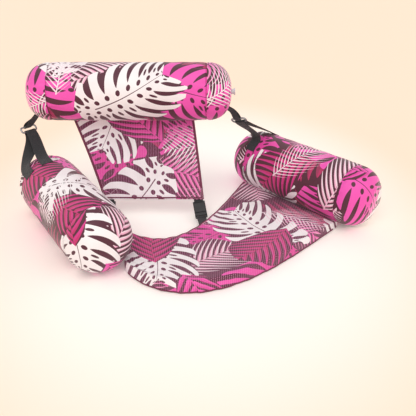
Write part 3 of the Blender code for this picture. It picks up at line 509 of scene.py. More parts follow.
class Finishes:
    """All of the chair's materials."""

    def __init__(self) -> None:
        """Make every material."""
        self.leaves = LeafPrint()
        self.satin = self.printed(Cloth("printed_satin_cover", 0.52, 0.25, 0.0007, False))
        self.mesh = self.printed(Cloth("printed_ribbed_mesh", 0.70, 0.15, 0.0056, True))
        self.hem = self.plain_cloth("plum_hem_tape", shade(84, 40, 58), shade(140, 54, 88), 0.72, 0.0016)
        self.thread = self.plain_cloth("light_pink_thread", shade(236, 150, 186), shade(250, 196, 216))
        self.pale_thread = self.plain_cloth("pale_thread", shade(244, 200, 220), shade(253, 238, 244))
        self.dark_thread = self.plain_cloth("plum_thread", shade(80, 42, 58), shade(120, 60, 84))
        self.webbing = self.woven_webbing()
        self.black_thread = self.plain_cloth("black_thread", shade(24, 25, 27), shade(52, 54, 57), 0.6)
        self.plastic = self.moulded("moulded_black_plastic", shade(36, 38, 41), 0.42)
        self.vinyl = self.moulded("soft_white_vinyl", shade(228, 231, 232), 0.34)
        self.bladder = self.moulded("clear_bladder_vinyl", shade(206, 218, 224), 0.22)
        self.steel = self.ring_metal()

    @staticmethod
    def start(name: str, roughness: float) -> tuple[Material, Sketch, Node]:
        """Make a material with one Principled shader.

        Args:
            name: the material's name.
            roughness: the shader's roughness.

        Returns:
            The material, a sketch on its tree and the shader.
        """
        material = bpy.data.materials.new(name)
        material.use_nodes = True
        shader = material.node_tree.nodes["Principled BSDF"]
        shader.inputs["Roughness"].default_value = roughness
        return material, Sketch(material.node_tree), shader

    @staticmethod
    def coat(sketch: Sketch, shader: Node, colour: object, rough: object, normal: object) -> None:
        """Feed a shader its colour, roughness and normal."""
        sketch.fill(shader, {"Base Color": colour, "Roughness": rough, "Normal": normal})

    def printed(self, cloth: Cloth) -> Material:
        """Print the leaves on a cloth, and give it its threads.

        Args:
            cloth: the cloth's numbers.

        Returns:
            The material, which reads the piece's own UV map in metres.
        """
        material, sketch, shader = self.start(cloth.name, cloth.roughness)
        place = sketch.new("ShaderNodeUVMap", uv_map="cloth").outputs[0]
        leaves = sketch.made("ShaderNodeGroup", {0: place}, node_tree=self.leaves.tree)
        x, y, _ = sketch.split(place)
        soft = sketch.noise(place, 9.0, 3.0)
        # Painted shade: soft random patches that darken the print up to a tenth towards a dusky pink.
        patchy_painted_shade = sketch.ramp(soft, 0.35, 0.75, 0.0, 0.10)
        colour = sketch.mix(patchy_painted_shade, leaves, shade(150, 90, 120), "MULTIPLY")
        turns = math.tau / cloth.thread
        if cloth.ribbed:
            ribs = (x * turns).sine() * 0.5 + 0.5
            dots = (y * turns * 1.25 + (x * turns * 0.5).sine() * 1.5).sine() * 0.5 + 0.5
            knit = ribs * 0.5 + dots * 0.5
            raised = sketch.ramp(knit, 0.50, 0.78, 0.0, 0.60)
            lit = sketch.mix(raised, colour, shade(216, 148, 186), "LIGHTEN")
            # Painted shade: the knit's gaps and holes are darkened towards plum, where the open mesh would
            # show shade.
            colour = sketch.mix(sketch.ramp(knit, 0.34, 0.10, 0.0, 0.08), lit, shade(112, 52, 80))
            normal = sketch.bump(knit, 0.6, 0.0008)
            rough = sketch.ramp(knit, 0.2, 0.8, 0.88, cloth.roughness)
        else:
            weave = (x * turns).sine() * (y * turns).sine()
            fine = sketch.bump(weave, 0.12, 0.0001)
            normal = sketch.bump(sketch.noise(place, 60.0, 3.0), 0.10, 0.0010, fine)
            rough = sketch.ramp(soft, 0.3, 0.7, cloth.roughness - 0.05, cloth.roughness + 0.07)
        self.coat(sketch, shader, colour, rough, normal)
        sketch.fill(shader, {"Sheen Weight": cloth.sheen, "Sheen Roughness": 0.45})
        return material

    def plain_cloth(self, name: str, dark: Colour, light: Colour, roughness: float = 0.55,
                    pitch: float = 0.0006) -> Material:
        """Make a plain tape or thread with a fine twist.

        Args:
            name: the material's name.
            dark: colour between the threads, a painted shade.
            light: colour on the threads.
            roughness: the shader's roughness.
            pitch: distance between threads.

        Returns:
            The material.
        """
        material, sketch, shader = self.start(name, roughness)
        place = sketch.new("ShaderNodeTexCoord").outputs["Object"]
        x, y, z = sketch.split(place)
        twist = ((x + y * 0.8 + z * 0.9) * (math.tau / pitch)).sine() * 0.5 + 0.5
        mottle = sketch.noise(place, 180.0, 2.0)
        # Painted shade between the threads of the twist, mixed with random tone from the mottle.
        colour = sketch.mix((twist * 0.6 + mottle * 0.4).clamped(), dark, light)
        rough = sketch.ramp(mottle, 0.3, 0.7, roughness - 0.06, roughness + 0.08)
        self.coat(sketch, shader, colour, rough, sketch.bump(twist, 0.35, 0.0002))
        return material

    def woven_webbing(self) -> Material:
        """Make black webbing: a herringbone of fine ribs between plain selvedges.

        Returns:
            The material, which reads the piece's own UV map in metres.
        """
        material, sketch, shader = self.start("woven_black_webbing", 0.78)
        place = sketch.new("ShaderNodeUVMap", uv_map="cloth").outputs[0]
        x, y, _ = sketch.split(place)
        columns = x * (1.0 / 0.0042)
        lean = abs(columns.fraction() - 0.5) * 2.0
        rows = ((y * (1.0 / 0.0024) + lean * 0.7) * math.tau).sine() * 0.5 + 0.5
        groove = (lean < 0.12).most(lean > 0.90)
        height = rows * (1.0 - groove * 0.7)
        wear = sketch.noise(place, 240.0, 3.0)
        # Painted shade in the grooves and between rows and painted highlight on the raised rows, mixed with
        # random tone from the wear noise.
        colour = sketch.mix((height * 0.6 + wear * 0.4).clamped(), shade(17, 18, 20), shade(56, 58, 62))
        rough = sketch.ramp(wear, 0.3, 0.7, 0.70, 0.88)
        self.coat(sketch, shader, colour, rough, sketch.bump(height, 0.6, 0.0004))
        shader.inputs["Sheen Weight"].default_value = 0.2
        return material

    def moulded(self, name: str, colour: Colour, roughness: float) -> Material:
        """Make moulded plastic or vinyl with a fine grain and slight colour drift.

        Args:
            name: the material's name.
            colour: its lighter colour.
            roughness: the shader's roughness.

        Returns:
            The material.
        """
        material, sketch, shader = self.start(name, roughness)
        place = sketch.new("ShaderNodeTexCoord").outputs["Object"]
        drift = sketch.noise(place, 70.0, 3.0)
        grain = sketch.noise(place, 900.0, 2.0)
        darker = tuple(part * 0.82 for part in colour[:3]) + (1.0,)
        rough = sketch.ramp(drift, 0.3, 0.7, roughness - 0.05, roughness + 0.09)
        self.coat(sketch, shader, sketch.mix(drift, darker, colour), rough, sketch.bump(grain, 0.15, 0.0002))
        return material

    def ring_metal(self) -> Material:
        """Make the rings' silver-grey metal, a little brushed and dulled.

        Returns:
            The material.
        """
        material, sketch, shader = self.start("silver_ring_metal", 0.34)
        place = sketch.new("ShaderNodeTexCoord").outputs["Object"]
        drift = sketch.noise(place, 130.0, 4.0)
        brush = sketch.noise(place, 1500.0, 2.0)
        colour = sketch.mix(drift, shade(128, 134, 136), shade(196, 200, 201))
        rough = sketch.ramp(drift, 0.3, 0.7, 0.28, 0.46)
        self.coat(sketch, shader, colour, rough, sketch.bump(brush, 0.12, 0.0001))
        shader.inputs["Metallic"].default_value = 0.9
        return material


def link_mesh(name: str, mesh: Mesh, material: Material) -> Object:
    """Put a mesh in the scene as a smooth object with one material.

    Args:
        name: the object's name.
        mesh: its mesh.
        material: its finish.

    Returns:
        The object.
    """
    obj = bpy.data.objects.new(name, mesh)
    bpy.context.scene.collection.objects.link(obj)
    if not mesh.materials:
        mesh.materials.append(material)
    mesh.shade_smooth()
    return obj


def grid_object(name: str, points: np.ndarray, places: np.ndarray, material: Material,
                outward: np.ndarray, around: bool) -> Object:
    """Make a cloth from a grid of points.

    Args:
        name: the object's name.
        points: rows x columns x 3. Where the grid closes round, the last column isn't a copy of the first.
        places: the UV map in metres, rows x columns x 2, with one more column where the grid closes round.
        material: the finish.
        outward: rows x columns x 3, directions that the faces should look along.
        around: whether the grid closes round.

    Returns:
        The object.
    """
    rows, columns = points.shape[:2]
    last = columns if around else columns - 1
    row, column = np.meshgrid(np.arange(rows - 1), np.arange(last), indexing="ij")
    row, column = row.ravel(), column.ravel()
    after = (column + 1) % columns
    below, beside = row + 1, column + 1
    corners = [(row, column, column), (row, after, beside), (below, after, beside), (below, column, column)]
    flat = points.reshape(-1, 3)
    index = np.stack([r * columns + c for r, c, _ in corners], 1)
    uv = np.stack([places[r, u] for r, _, u in corners], 1)
    first, second, third = (flat[index[:, i]] for i in range(3))
    facing = (np.cross(second - first, third - first) * outward.reshape(-1, 3)[index[:, 0]]).sum()
    if facing < 0.0:
        index, uv = index[:, ::-1], uv[:, ::-1]
    mesh = bpy.data.meshes.new(name)
    mesh.from_pydata(flat.tolist(), [], index.tolist())
    layer = mesh.uv_layers.new(name="cloth")
    layer.data.foreach_set("uv", uv.astype(np.float32).ravel())
    mesh.update()
    return link_mesh(name, mesh, material)


def settled(obj: Object) -> Object:
    """Turn an object's modifiers into plain mesh and remove them.

    Args:
        obj: the object.

    Returns:
        The same object.
    """
    depsgraph = bpy.context.evaluated_depsgraph_get()
    mesh = bpy.data.meshes.new_from_object(obj.evaluated_get(depsgraph), depsgraph=depsgraph)
    mesh.name = obj.name
    obj.modifiers.clear()
    obj.data = mesh
    return obj


def welded(obj: Object, reach: float = WELD_REACH) -> Object:
    """Let a modifier merge the points that lie together at a closed end.

    Args:
        obj: the object.
        reach: distance within which points merge.

    Returns:
        The same object.
    """
    weld = obj.modifiers.new("weld", "WELD")
    weld.merge_threshold = reach
    return obj


def walled(obj: Object, thickness: float, offset: float) -> Object:
    """Give a cloth its thickness.

    Args:
        obj: the cloth.
        thickness: of its wall.
        offset: -1 puts the wall behind the surface, and 0 to both sides.

    Returns:
        The same object.
    """
    wall = obj.modifiers.new("wall", "SOLIDIFY")
    wall.thickness = thickness
    wall.offset = offset
    settled(obj)
    obj.data.set_sharp_from_angle(angle=math.radians(50.0))
    return obj


def smooth_path(points: Sequence[Vector], steps: int) -> list[Vector]:
    """Return points on a smooth curve through the given ones, with some steps between each two.

    Args:
        points: what the curve passes through.
        steps: how many steps lie between each two.

    Returns:
        The curve's points.
    """
    last = len(points) - 1
    spans = [points[i + 1] - points[i] for i in range(last)]
    lengths = [span.length for span in spans]
    slopes = [spans[0] / lengths[0]]
    for i in range(1, last):
        before, after = spans[i - 1] / lengths[i - 1], spans[i] / lengths[i]
        mixed = before * lengths[i] + after * lengths[i - 1]
        slopes.append(mixed / (lengths[i - 1] + lengths[i]))
    slopes.append(spans[-1] / lengths[-1])
    path = []
    for i in range(last):
        for step in range(steps):
            t = step / steps
            bend = t * t * (3.0 - 2.0 * t)
            lead = t * (1.0 - t) ** 2 * lengths[i]
            lag = t * t * (t - 1.0) * lengths[i]
            path.append(points[i].lerp(points[i + 1], bend) + slopes[i] * lead + slopes[i + 1] * lag)
    path.append(points[-1])
    return path


def blend_ways(ways: Sequence[Vector], steps: int) -> list[Vector]:
    """Turn evenly from each given direction to the next.

    Args:
        ways: the given directions.
        steps: how many steps lie between each two.

    Returns:
        The directions.
    """
    blended = []
    for start, end in zip(ways, ways[1:]):
        blended += [start.lerp(end, step / steps).normalized() for step in range(steps)]
    return [*blended, ways[-1]]


def squared(points: Sequence[Vector], ways: Sequence[Vector], width: float) -> list[Station]:
    """Stand a ribbon's half widths square to its path.

    Args:
        points: the path.
        ways: the direction of each half width, before it is squared.
        width: of the ribbon.

    Returns:
        The ribbon's stations.
    """
    stations = []
    for i, (point, way) in enumerate(zip(points, ways)):
        along = (points[min(i + 1, len(points) - 1)] - points[max(i - 1, 0)]).normalized()
        stations.append((point, (way - along * way.dot(along)).normalized() * (width / 2.0)))
    return stations


WEB_UPPER = (
    (-1.0, 0.0), (-0.985, 0.7), (-0.94, 1.0), (-0.6, 0.92), (0.0, 0.92), (0.6, 0.92), (0.94, 1.0),
    (0.985, 0.7),
)
WEB_SECTION = (*WEB_UPPER, *((-across, -up) for across, up in WEB_UPPER))


def run_length(stations: Sequence[Station]) -> float:
    """Return the length of a band along its middle."""
    return sum((after[0] - before[0]).length for before, after in zip(stations, stations[1:]))


def ribbon(name: str, stations: Sequence[Station], thickness: float, material: Material,
           run: float = 0.0) -> Object:
    """Sweep a flat band with soft edges along its stations, and close its ends.

    Args:
        name: the object's name.
        stations: (middle, half width) along the band.
        thickness: of the band.
        material: the finish.
        run: length of the same webbing before the first station, so that the weave goes on across a split.

    Returns:
        The object, with a UV map of (across, along) in metres.
    """
    rows, places = [], []
    for i, (middle, half) in enumerate(stations):
        along = stations[min(i + 1, len(stations) - 1)][0] - stations[max(i - 1, 0)][0]
        normal = along.cross(half).normalized() * (thickness / 2.0)
        if i:
            run += (middle - stations[i - 1][0]).length
        rows.append([middle + half * u + normal * v for u, v in WEB_SECTION])
        places.append([(half.length * u, run) for u, _ in (*WEB_SECTION, WEB_SECTION[0])])
    for end in (0, -1):
        middle = stations[end][0]
        cap = [[middle.copy() for _ in WEB_SECTION]]
        edge = [places[end]]
        rows, places = (cap + rows, edge + places) if end == 0 else (rows + cap, places + edge)
    points = np.array([[tuple(p) for p in row] for row in rows])
    centres = np.array([tuple(s[0]) for s in (stations[0], *stations, stations[-1])])
    outward = points - centres[:, None, :]
    obj = grid_object(name, points, np.array(places), material, outward, True)
    settled(welded(obj, WELD_REACH / 2.0))
    obj.data.set_sharp_from_angle(angle=math.radians(60.0))
    return obj


class Stitcher:
    """Sews rows of stitches with one Geometry Nodes tree."""

    PITCH = 0.0042
    LENGTH = 0.0030
    GIRTH = 0.0009
    CLOSE_PITCH = 0.0034
    THICK_GIRTH = 0.0013

    def __init__(self) -> None:
        """Build the tree: a path is cut into even steps, and each step gets a small round-ended stitch."""
        inputs = [(label, FLOAT_SOCKET) for label in ("Pitch", "Stitch Length", "Stitch Girth")]
        inputs = [("Path", SHAPE_SOCKET), *inputs, ("Thread", "NodeSocketMaterial")]
        sketch = group_tree("stitch_row", inputs, [("Stitches", SHAPE_SOCKET)], "GeometryNodeTree")
        self.ids = {item.name: item.identifier for item in sketch.tree.interface.items_tree}
        given = sketch.tree.nodes["Group Input"].outputs
        curve = sketch.made("GeometryNodeMeshToCurve", {"Mesh": given["Path"]})
        steps = {"Curve": curve, "Length": given["Pitch"]}
        even = sketch.made("GeometryNodeResampleCurve", steps, mode="LENGTH")
        tangent = sketch.made("GeometryNodeInputTangent", {})
        lean = sketch.made("FunctionNodeAlignRotationToVector", {"Vector": tangent}, axis="Z")
        ball = sketch.made("GeometryNodeMeshUVSphere", {"Segments": 6, "Rings": 5, "Radius": 0.5})
        girth = given["Stitch Girth"]
        sizes = sketch.joined(girth, girth, given["Stitch Length"])
        laid = {"Points": even, "Instance": ball, "Rotation": lean, "Scale": sizes}
        place = sketch.made("GeometryNodeInstanceOnPoints", laid)
        real = sketch.made("GeometryNodeRealizeInstances", {0: place})
        dye = {"Geometry": real, "Material": given["Thread"]}
        self.tree = close_group(sketch, [sketch.made("GeometryNodeSetMaterial", dye)])

    def box(self, name: str, rows: Sequence[Sequence[Vector]], thread: Material) -> Object:
        """Sew the closer and thicker stitches of a crossed box."""
        return self.sew(name, rows, thread, self.CLOSE_PITCH, self.THICK_GIRTH)

    def sew(self, name: str, rows: Sequence[Sequence[Vector]], thread: Material,
            pitch: float = PITCH, girth: float = GIRTH) -> Object:
        """Sew rows of stitches.

        Args:
            name: the object's name.
            rows: the paths, each a list of points.
            thread: the finish.
            pitch: distance between stitches.
            girth: thickness of the thread.

        Returns:
            One plain mesh of all the stitches.
        """
        points: list[tuple[float, ...]] = []
        edges: list[tuple[int, int]] = []
        for row in rows:
            first = len(points)
            points += [tuple(p) for p in row]
            edges += [(first + i, first + i + 1) for i in range(len(row) - 1)]
        mesh = bpy.data.meshes.new(name)
        mesh.from_pydata(points, edges, [])
        obj = bpy.data.objects.new(name, mesh)
        bpy.context.scene.collection.objects.link(obj)
        modifier = obj.modifiers.new("stitches", "NODES")
        modifier.node_group = self.tree
        modifier[self.ids["Pitch"]] = pitch
        modifier[self.ids["Stitch Length"]] = pitch * self.LENGTH / self.PITCH
        modifier[self.ids["Stitch Girth"]] = girth
        modifier[self.ids["Thread"]] = thread
        settled(obj)
        obj.data.shade_smooth()
        return obj


@dataclass(frozen=True)
class Inflation:
    """How a cloth simulation blows a cover up against its seams, and how far a point of it may move."""

    pressure: float = 4.0
    growth: float = 0.022
    frames: int = 20
    slack: float = 0.0018
    most_out: float = 0.0004
    most_in: float = 0.0040
    most_aside: float = 0.0030

    def blow_up(self, name: str, points: np.ndarray, outward: np.ndarray,
                pinned: Sequence[int]) -> np.ndarray:
        """Swell a tube of rings.

        Args:
            name: the cover's name.
            points: rings x around x 3, at full size.
            outward: unit directions away from the axis, of the same shape.
            pinned: the rings that are sewn down or held.

        Returns:
            The swollen points, which never stand further out than most_out.
        """
        rings, around = points.shape[:2]
        held = np.zeros(rings, bool)
        held[list(pinned)] = True
        start = points - outward * np.where(held, 0.0, self.slack)[:, None, None]
        ring, step = np.meshgrid(np.arange(rings - 1), np.arange(around), indexing="ij")
        after = (step + 1) % around
        here, above = ring * around, (ring + 1) * around
        faces = np.stack([here + step, here + after, above + after, above + step], -1).reshape(-1, 4)
        mesh = bpy.data.meshes.new(name + "_blank")
        mesh.from_pydata(start.reshape(-1, 3).tolist(), [], faces.tolist())
        mesh.update()
        first = mesh.polygons[len(mesh.polygons) // 2]
        if Vector(outward.reshape(-1, 3)[first.vertices[0]]).dot(first.normal) < 0.0:
            mesh.flip_normals()
        blank = bpy.data.objects.new(name + "_blank", mesh)
        scene = bpy.context.scene
        scene.collection.objects.link(blank)
        group = blank.vertex_groups.new(name="sewn")
        group.add([int(i) for i in np.flatnonzero(np.repeat(held, around))], 1.0, "REPLACE")
        cloth = blank.modifiers.new("swell", "CLOTH")
        settings = cloth.settings
        settings.quality = 5
        settings.mass = 0.25
        settings.tension_stiffness = settings.compression_stiffness = 25.0
        settings.shear_stiffness = 12.0
        settings.bending_stiffness = 0.15
        settings.vertex_group_mass = "sewn"
        settings.use_pressure = True
        settings.uniform_pressure_force = self.pressure
        settings.shrink_min = -self.growth
        settings.effector_weights.gravity = 0.0
        cloth.point_cache.frame_start = 1
        cloth.point_cache.frame_end = self.frames
        for number in range(1, self.frames + 1):
            scene.frame_set(number)
        depsgraph = bpy.context.evaluated_depsgraph_get()
        flat = np.empty(rings * around * 3, np.float32)
        blank.evaluated_get(depsgraph).data.vertices.foreach_get("co", flat)
        bpy.data.objects.remove(blank)
        scene.frame_set(1)
        moved = flat.reshape(points.shape).astype(float) - points
        out = (moved * outward).sum(-1, keepdims=True)
        aside = moved - outward * out
        length = np.maximum(np.linalg.norm(aside, axis=-1, keepdims=True), 1e-9)
        aside *= np.minimum(1.0, self.most_aside / length)
        log.info("%s: swelled, out %.4f to %.4f", name, float(out.min()), float(out.max()))
        return points + outward * np.clip(out, -self.most_in, self.most_out) + aside


@dataclass
class CoverPart:
    """One cut piece of a bolster's cover: its rings of points and their places on the printed cloth."""

    label: str
    radii: np.ndarray
    level: np.ndarray
    places: np.ndarray


@dataclass
class Bolster:
    """One air-filled bolster: sleeve, two end caps, air bladder and valve."""

    name: str
    body: str
    radius: float
    length: float
    cap_depth: float
    centre: Vector
    turn: float
    lap_angle: float
    print_at: tuple[float, float]
    cap_print_at: tuple[float, float]
    around: int = 128
    along: int = 84
    cap_rings: int = 26
    cloth: float = 0.0010
    swell: float = 0.0004
    groove: float = 0.0016
    groove_reach: float = 0.005
    pucker: float = 0.0016
    pucker_start: float = 0.003
    sleeve_pucker_reach: float = 0.016
    cap_pucker_reach: float = 0.014
    wave: float = 0.0005
    wave_reach: float = 0.03
    seam_steps: int = 120
    thread_inset: float = 0.0030
    thread_lift: float = 0.0002
    bladder_steps: int = 14
    bladder_around: int = 64
    bladder_wall: float = 0.0006
    bladder_gap: float = 0.0005
    eyelet: float = 0.0125
    stem_radius: float = 0.0085
    height_power: float = 2.2
    radius_power: float = 2.6
    puckers: tuple[tuple[int, float], ...] = ((29, 0.4), (17, 1.9), (37, 3.1), (9, 5.2))
    inflation: Inflation = Inflation()
    axis: Vector = field(init=False)
    side: Vector = field(init=False)
    angles: np.ndarray = field(init=False)
    laps: np.ndarray = field(init=False)

    def __post_init__(self) -> None:
        """Work out the bolster's directions."""
        self.axis = Vector((math.cos(self.turn), math.sin(self.turn), 0.0))
        self.side = UP.cross(self.axis)
        self.laps = np.linspace(0.0, math.tau, self.around + 1)
        self.angles = self.lap_angle + self.laps[:-1]

    @property
    def seam(self) -> float:
        """Distance from the middle to where the caps are sewn on."""
        return self.length / 2.0 - self.cap_depth

    def radius_at(self, from_near_end: float) -> float:
        """Measure the cover's radius.

        Args:
            from_near_end: distance back from the near end.

        Returns:
            The radius there.
        """
        out = abs(self.length / 2.0 - from_near_end) - self.seam
        if out <= 0.0:
            return self.radius
        share = min(out / self.cap_depth, 1.0)
        return self.radius * (1.0 - share**self.height_power) ** (1.0 / self.radius_power)

    def surface(self, from_near_end: float, angle: float, clearance: float, inward: Vector) -> Vector:
        """Find a point beside the cover.

        Args:
            from_near_end: distance back from the near end.
            angle: 0 is level on the inner side, and 90 degrees the top.
            clearance: distance from the cover.
            inward: the inner side's level direction.

        Returns:
            The point.
        """
        radius = self.radius_at(from_near_end) + clearance
        on_axis = self.centre + self.axis * (self.length / 2.0 - from_near_end)
        return on_axis + inward * (radius * math.cos(angle)) + UP * (radius * math.sin(angle))

    def gathers(self, angles: np.ndarray) -> np.ndarray:
        """Return the seam's small gathers round the bolster, from about -1 to 1."""
        total = sum(np.sin(count * angles + phase) for count, phase in self.puckers)
        return total / math.sqrt(len(self.puckers))

    def puckered(self, angles: np.ndarray, walk: np.ndarray, reach: float) -> np.ndarray:
        """Return how far the gathers lift the cloth at a distance from the seam."""
        lift = self.pucker * self.gathers(angles) * np.exp(-walk / reach)
        return lift * (1.0 - np.exp(-walk / self.pucker_start))

    def world(self, angles: np.ndarray, radii: np.ndarray,
              along: np.ndarray) -> tuple[np.ndarray, np.ndarray]:
        """Lay points round the axis, held above the floor.

        Args:
            angles: of the points, round the axis.
            radii: their distances from the axis.
            along: their distances from the middle.

        Returns:
            The points and their outward directions.
        """
        side, axis = np.array(self.side), np.array(self.axis)
        ring = np.cos(angles)[..., None] * side + np.sin(angles)[..., None] * np.array(UP)
        points = np.array(self.centre) + radii[..., None] * ring + along[..., None] * axis
        points[..., 2] = np.maximum(points[..., 2], 0.0)
        return points, np.broadcast_to(ring, points.shape)

    def sleeve(self) -> CoverPart:
        """Cut the straight printed sleeve, drawn in at both seams.

        Returns:
            The sleeve, from its near seam to its far seam.
        """
        t = np.linspace(1.0, -1.0, self.along)
        along = self.seam * (1.30 * t - 0.30 * t**3)
        level, turn = np.meshgrid(along, self.angles, indexing="ij")
        inset = self.seam - np.abs(level)
        radii = self.radius + self.swell - (self.groove + self.swell) * np.exp(-inset / self.groove_reach)
        radii += self.puckered(turn, inset, self.sleeve_pucker_reach)
        wave = self.wave * np.sin(3.0 * turn + 9.0 * level / self.radius)
        radii += wave * (1.0 - np.exp(-inset / self.wave_reach))
        v, u = np.meshgrid(along, self.laps * self.radius, indexing="ij")
        places = np.stack([v + self.print_at[0], u + self.print_at[1]], -1)
        return CoverPart("sleeve", radii, level, places)

    def cap(self, way: float, hole: float) -> CoverPart:
        """Cut one domed end cap, gathered a little at its seam.

        Args:
            way: 1 for the near end, -1 for the far end.
            hole: radius of the valve's opening, or 0.

        Returns:
            The cap, from its middle to its seam at the near end and from its seam at the far end.
        """
        last = math.pi / 2.0 if not hole else math.acos((hole / self.radius) ** (self.radius_power / 2.0))
        t = np.linspace(0.0, last, self.cap_rings)
        start = self.seam + TOUCH_GAP
        depth = self.cap_depth - TOUCH_GAP
        rise = start + depth * np.sin(t) ** (2.0 / self.height_power)
        bare = self.radius * np.maximum(np.cos(t), 0.0) ** (2.0 / self.radius_power)
        walked = np.concatenate([[0.0], np.cumsum(np.hypot(np.diff(bare), np.diff(rise)))])
        radius, turn = np.meshgrid(bare, self.angles, indexing="ij")
        walk = np.repeat(walked[:, None], self.around, 1)
        radii = radius - self.groove * np.exp(-walk / self.groove_reach)
        radii = np.maximum(radii + self.puckered(turn, walk, self.cap_pucker_reach), 0.0)
        level = np.repeat(rise[:, None], self.around, 1) * way
        far, lap = np.meshgrid(walked[-1] - walked + hole, self.lap_angle + self.laps, indexing="ij")
        u, v = self.cap_print_at
        places = np.stack([far * np.cos(lap) + u, far * np.sin(lap) * way + v], -1)
        label = "near_cap" if way > 0.0 else "far_cap"
        turned = slice(None, None, -1) if way > 0.0 else slice(None)
        return CoverPart(label, radii[turned], level[turned], places[turned])

    def covers(self, finish: Material) -> list[Object]:
        """Cut the cap, the sleeve and the cap, swell them together and give each its thickness.

        Args:
            finish: the cloth.

        Returns:
            The near cap, the sleeve and the far cap.
        """
        parts = [self.cap(1.0, 0.0), self.sleeve(), self.cap(-1.0, self.eyelet)]
        rings = [len(part.radii) for part in parts]
        turn = np.broadcast_to(self.angles, (sum(rings), self.around))
        radii = np.concatenate([part.radii for part in parts])
        level = np.concatenate([part.level for part in parts])
        points, outward = self.world(turn, radii, level)
        lean = np.clip((np.abs(level) - self.seam) / self.cap_depth, 0.0, 1.0)[..., None] * (math.pi / 2.0)
        outward = outward * np.cos(lean) + np.array(self.axis) * np.sign(level)[..., None] * np.sin(lean)
        near, far, end = np.cumsum(rings).tolist()
        sewn = [0, 1, near - 2, near - 1, far - 2, far - 1, end - 2]
        points[1:] = self.inflation.blow_up(self.name, points[1:], outward[1:], sewn)
        points[..., 2] = np.maximum(points[..., 2], 0.0)
        covers, first = [], 0
        for part, count in zip(parts, rings):
            rows = slice(first, first + count)
            name = f"{self.name}_{part.label}_cover"
            obj = grid_object(name, points[rows], part.places, finish, outward[rows], True)
            covers.append(walled(welded(obj), self.cloth, -1.0))
            first += count
        return covers

    def seam_ring(self, way: float, inset: float) -> list[Vector]:
        """Return a closed ring of points on the cover beside a seam, where a row of stitches runs.

        Args:
            way: 1 for the near seam, -1 for the far seam.
            inset: distance from the seam.

        Returns:
            The points.
        """
        points = []
        radius = self.radius - self.groove * math.exp(-inset / self.groove_reach) + self.thread_lift
        for step in range(self.seam_steps + 1):
            angle = math.tau * step / self.seam_steps
            out = self.side * math.cos(angle) + UP * math.sin(angle)
            point = self.centre + self.axis * (way * (self.seam - inset)) + out * radius
            point.z = max(point.z, TOUCH_GAP)
            points.append(point)
        return points

    def bladder(self, finish: Material) -> Object:
        """Make the air bladder inside the cover, open only where the stem passes.

        Args:
            finish: its vinyl.

        Returns:
            The bladder.
        """
        inset = self.cloth + self.bladder_gap
        radius, depth = (size - inset - self.inflation.most_in for size in (self.radius, self.cap_depth))
        hole = self.stem_radius + self.bladder_gap
        near = np.linspace(math.pi / 2.0, 0.0, self.bladder_steps)
        far = np.linspace(0.0, math.acos((hole / radius) ** (self.radius_power / 2.0)), self.bladder_steps)
        bare, rise = [], []
        for t, way in ((near, 1.0), (far, -1.0)):
            bare += list(radius * np.maximum(np.cos(t), 0.0) ** (2.0 / self.radius_power))
            rise += list(way * (self.seam + depth * np.sin(t) ** (2.0 / self.height_power)))
        angles = np.linspace(0.0, math.tau, self.bladder_around, endpoint=False)
        radii, turn = np.meshgrid(np.array(bare), angles, indexing="ij")
        level = np.repeat(np.array(rise)[:, None], len(angles), 1)
        points, outward = self.world(turn, radii, level)
        points[..., 2] = np.maximum(points[..., 2], inset + TOUCH_GAP)
        places = np.zeros((len(bare), len(angles) + 1, 2))
        obj = grid_object(self.name + "_air_bladder", points, places, finish, outward, True)
        return walled(welded(obj), self.bladder_wall, -1.0)

    def make(self, finishes: Finishes, stitcher: Stitcher) -> None:
        """Build and dress the bolster, and put each piece on its body.

        Args:
            finishes: the chair's materials.
            stitcher: what sews its stitches.
        """
        for obj in self.covers(finishes.satin):
            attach(obj, self.body)
            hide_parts(obj.name.removesuffix("_cover"))
        bladder = self.bladder(finishes.bladder)
        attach(bladder, self.body)
        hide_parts(self.name + "_bladder")
        rows = [self.seam_ring(way, self.thread_inset) for way in (1.0, -1.0)]
        stitches = stitcher.sew(self.name + "_seam_stitches", rows, finishes.dark_thread)
        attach(stitches, self.body)
        log.info("%s: sleeve, caps, bladder and %d seam rows", self.name, len(rows))


def cleared(point: Vector, bolster: Bolster, clearance: float) -> Vector:
    """Return a point moved straight out from a bolster's axis until it clears the cover.

    Args:
        point: where it is.
        bolster: what it must clear.
        clearance: distance from the cover.

    Returns:
        The point, or the same one where it is clear already.
    """
    offset = point - bolster.centre
    along = offset.dot(bolster.axis)
    radial = offset - bolster.axis * along
    if abs(along) >= bolster.length / 2.0:
        return point
    needed = bolster.radius_at(bolster.length / 2.0 - along) + clearance
    if radial.length >= needed:
        return point
    return point + radial.normalized() * (needed - radial.length)


def uneven(place: float, turns: float, sway: float, slow: float) -> float:
    """Return a wave along a cloth, from -1 to 1, whose crests stand at uneven distances."""
    return math.sin(turns * place + sway * math.sin(slow * place))


def crossed_box(corners: Sequence[Vector], steps: int) -> list[list[Vector]]:
    """Return the four sides and two diagonals of a box of stitches."""
    pairs = ((0, 1), (1, 2), (2, 3), (3, 0), (0, 2), (1, 3))
    return [[corners[a].lerp(corners[b], s / steps) for s in range(steps + 1)] for a, b in pairs]


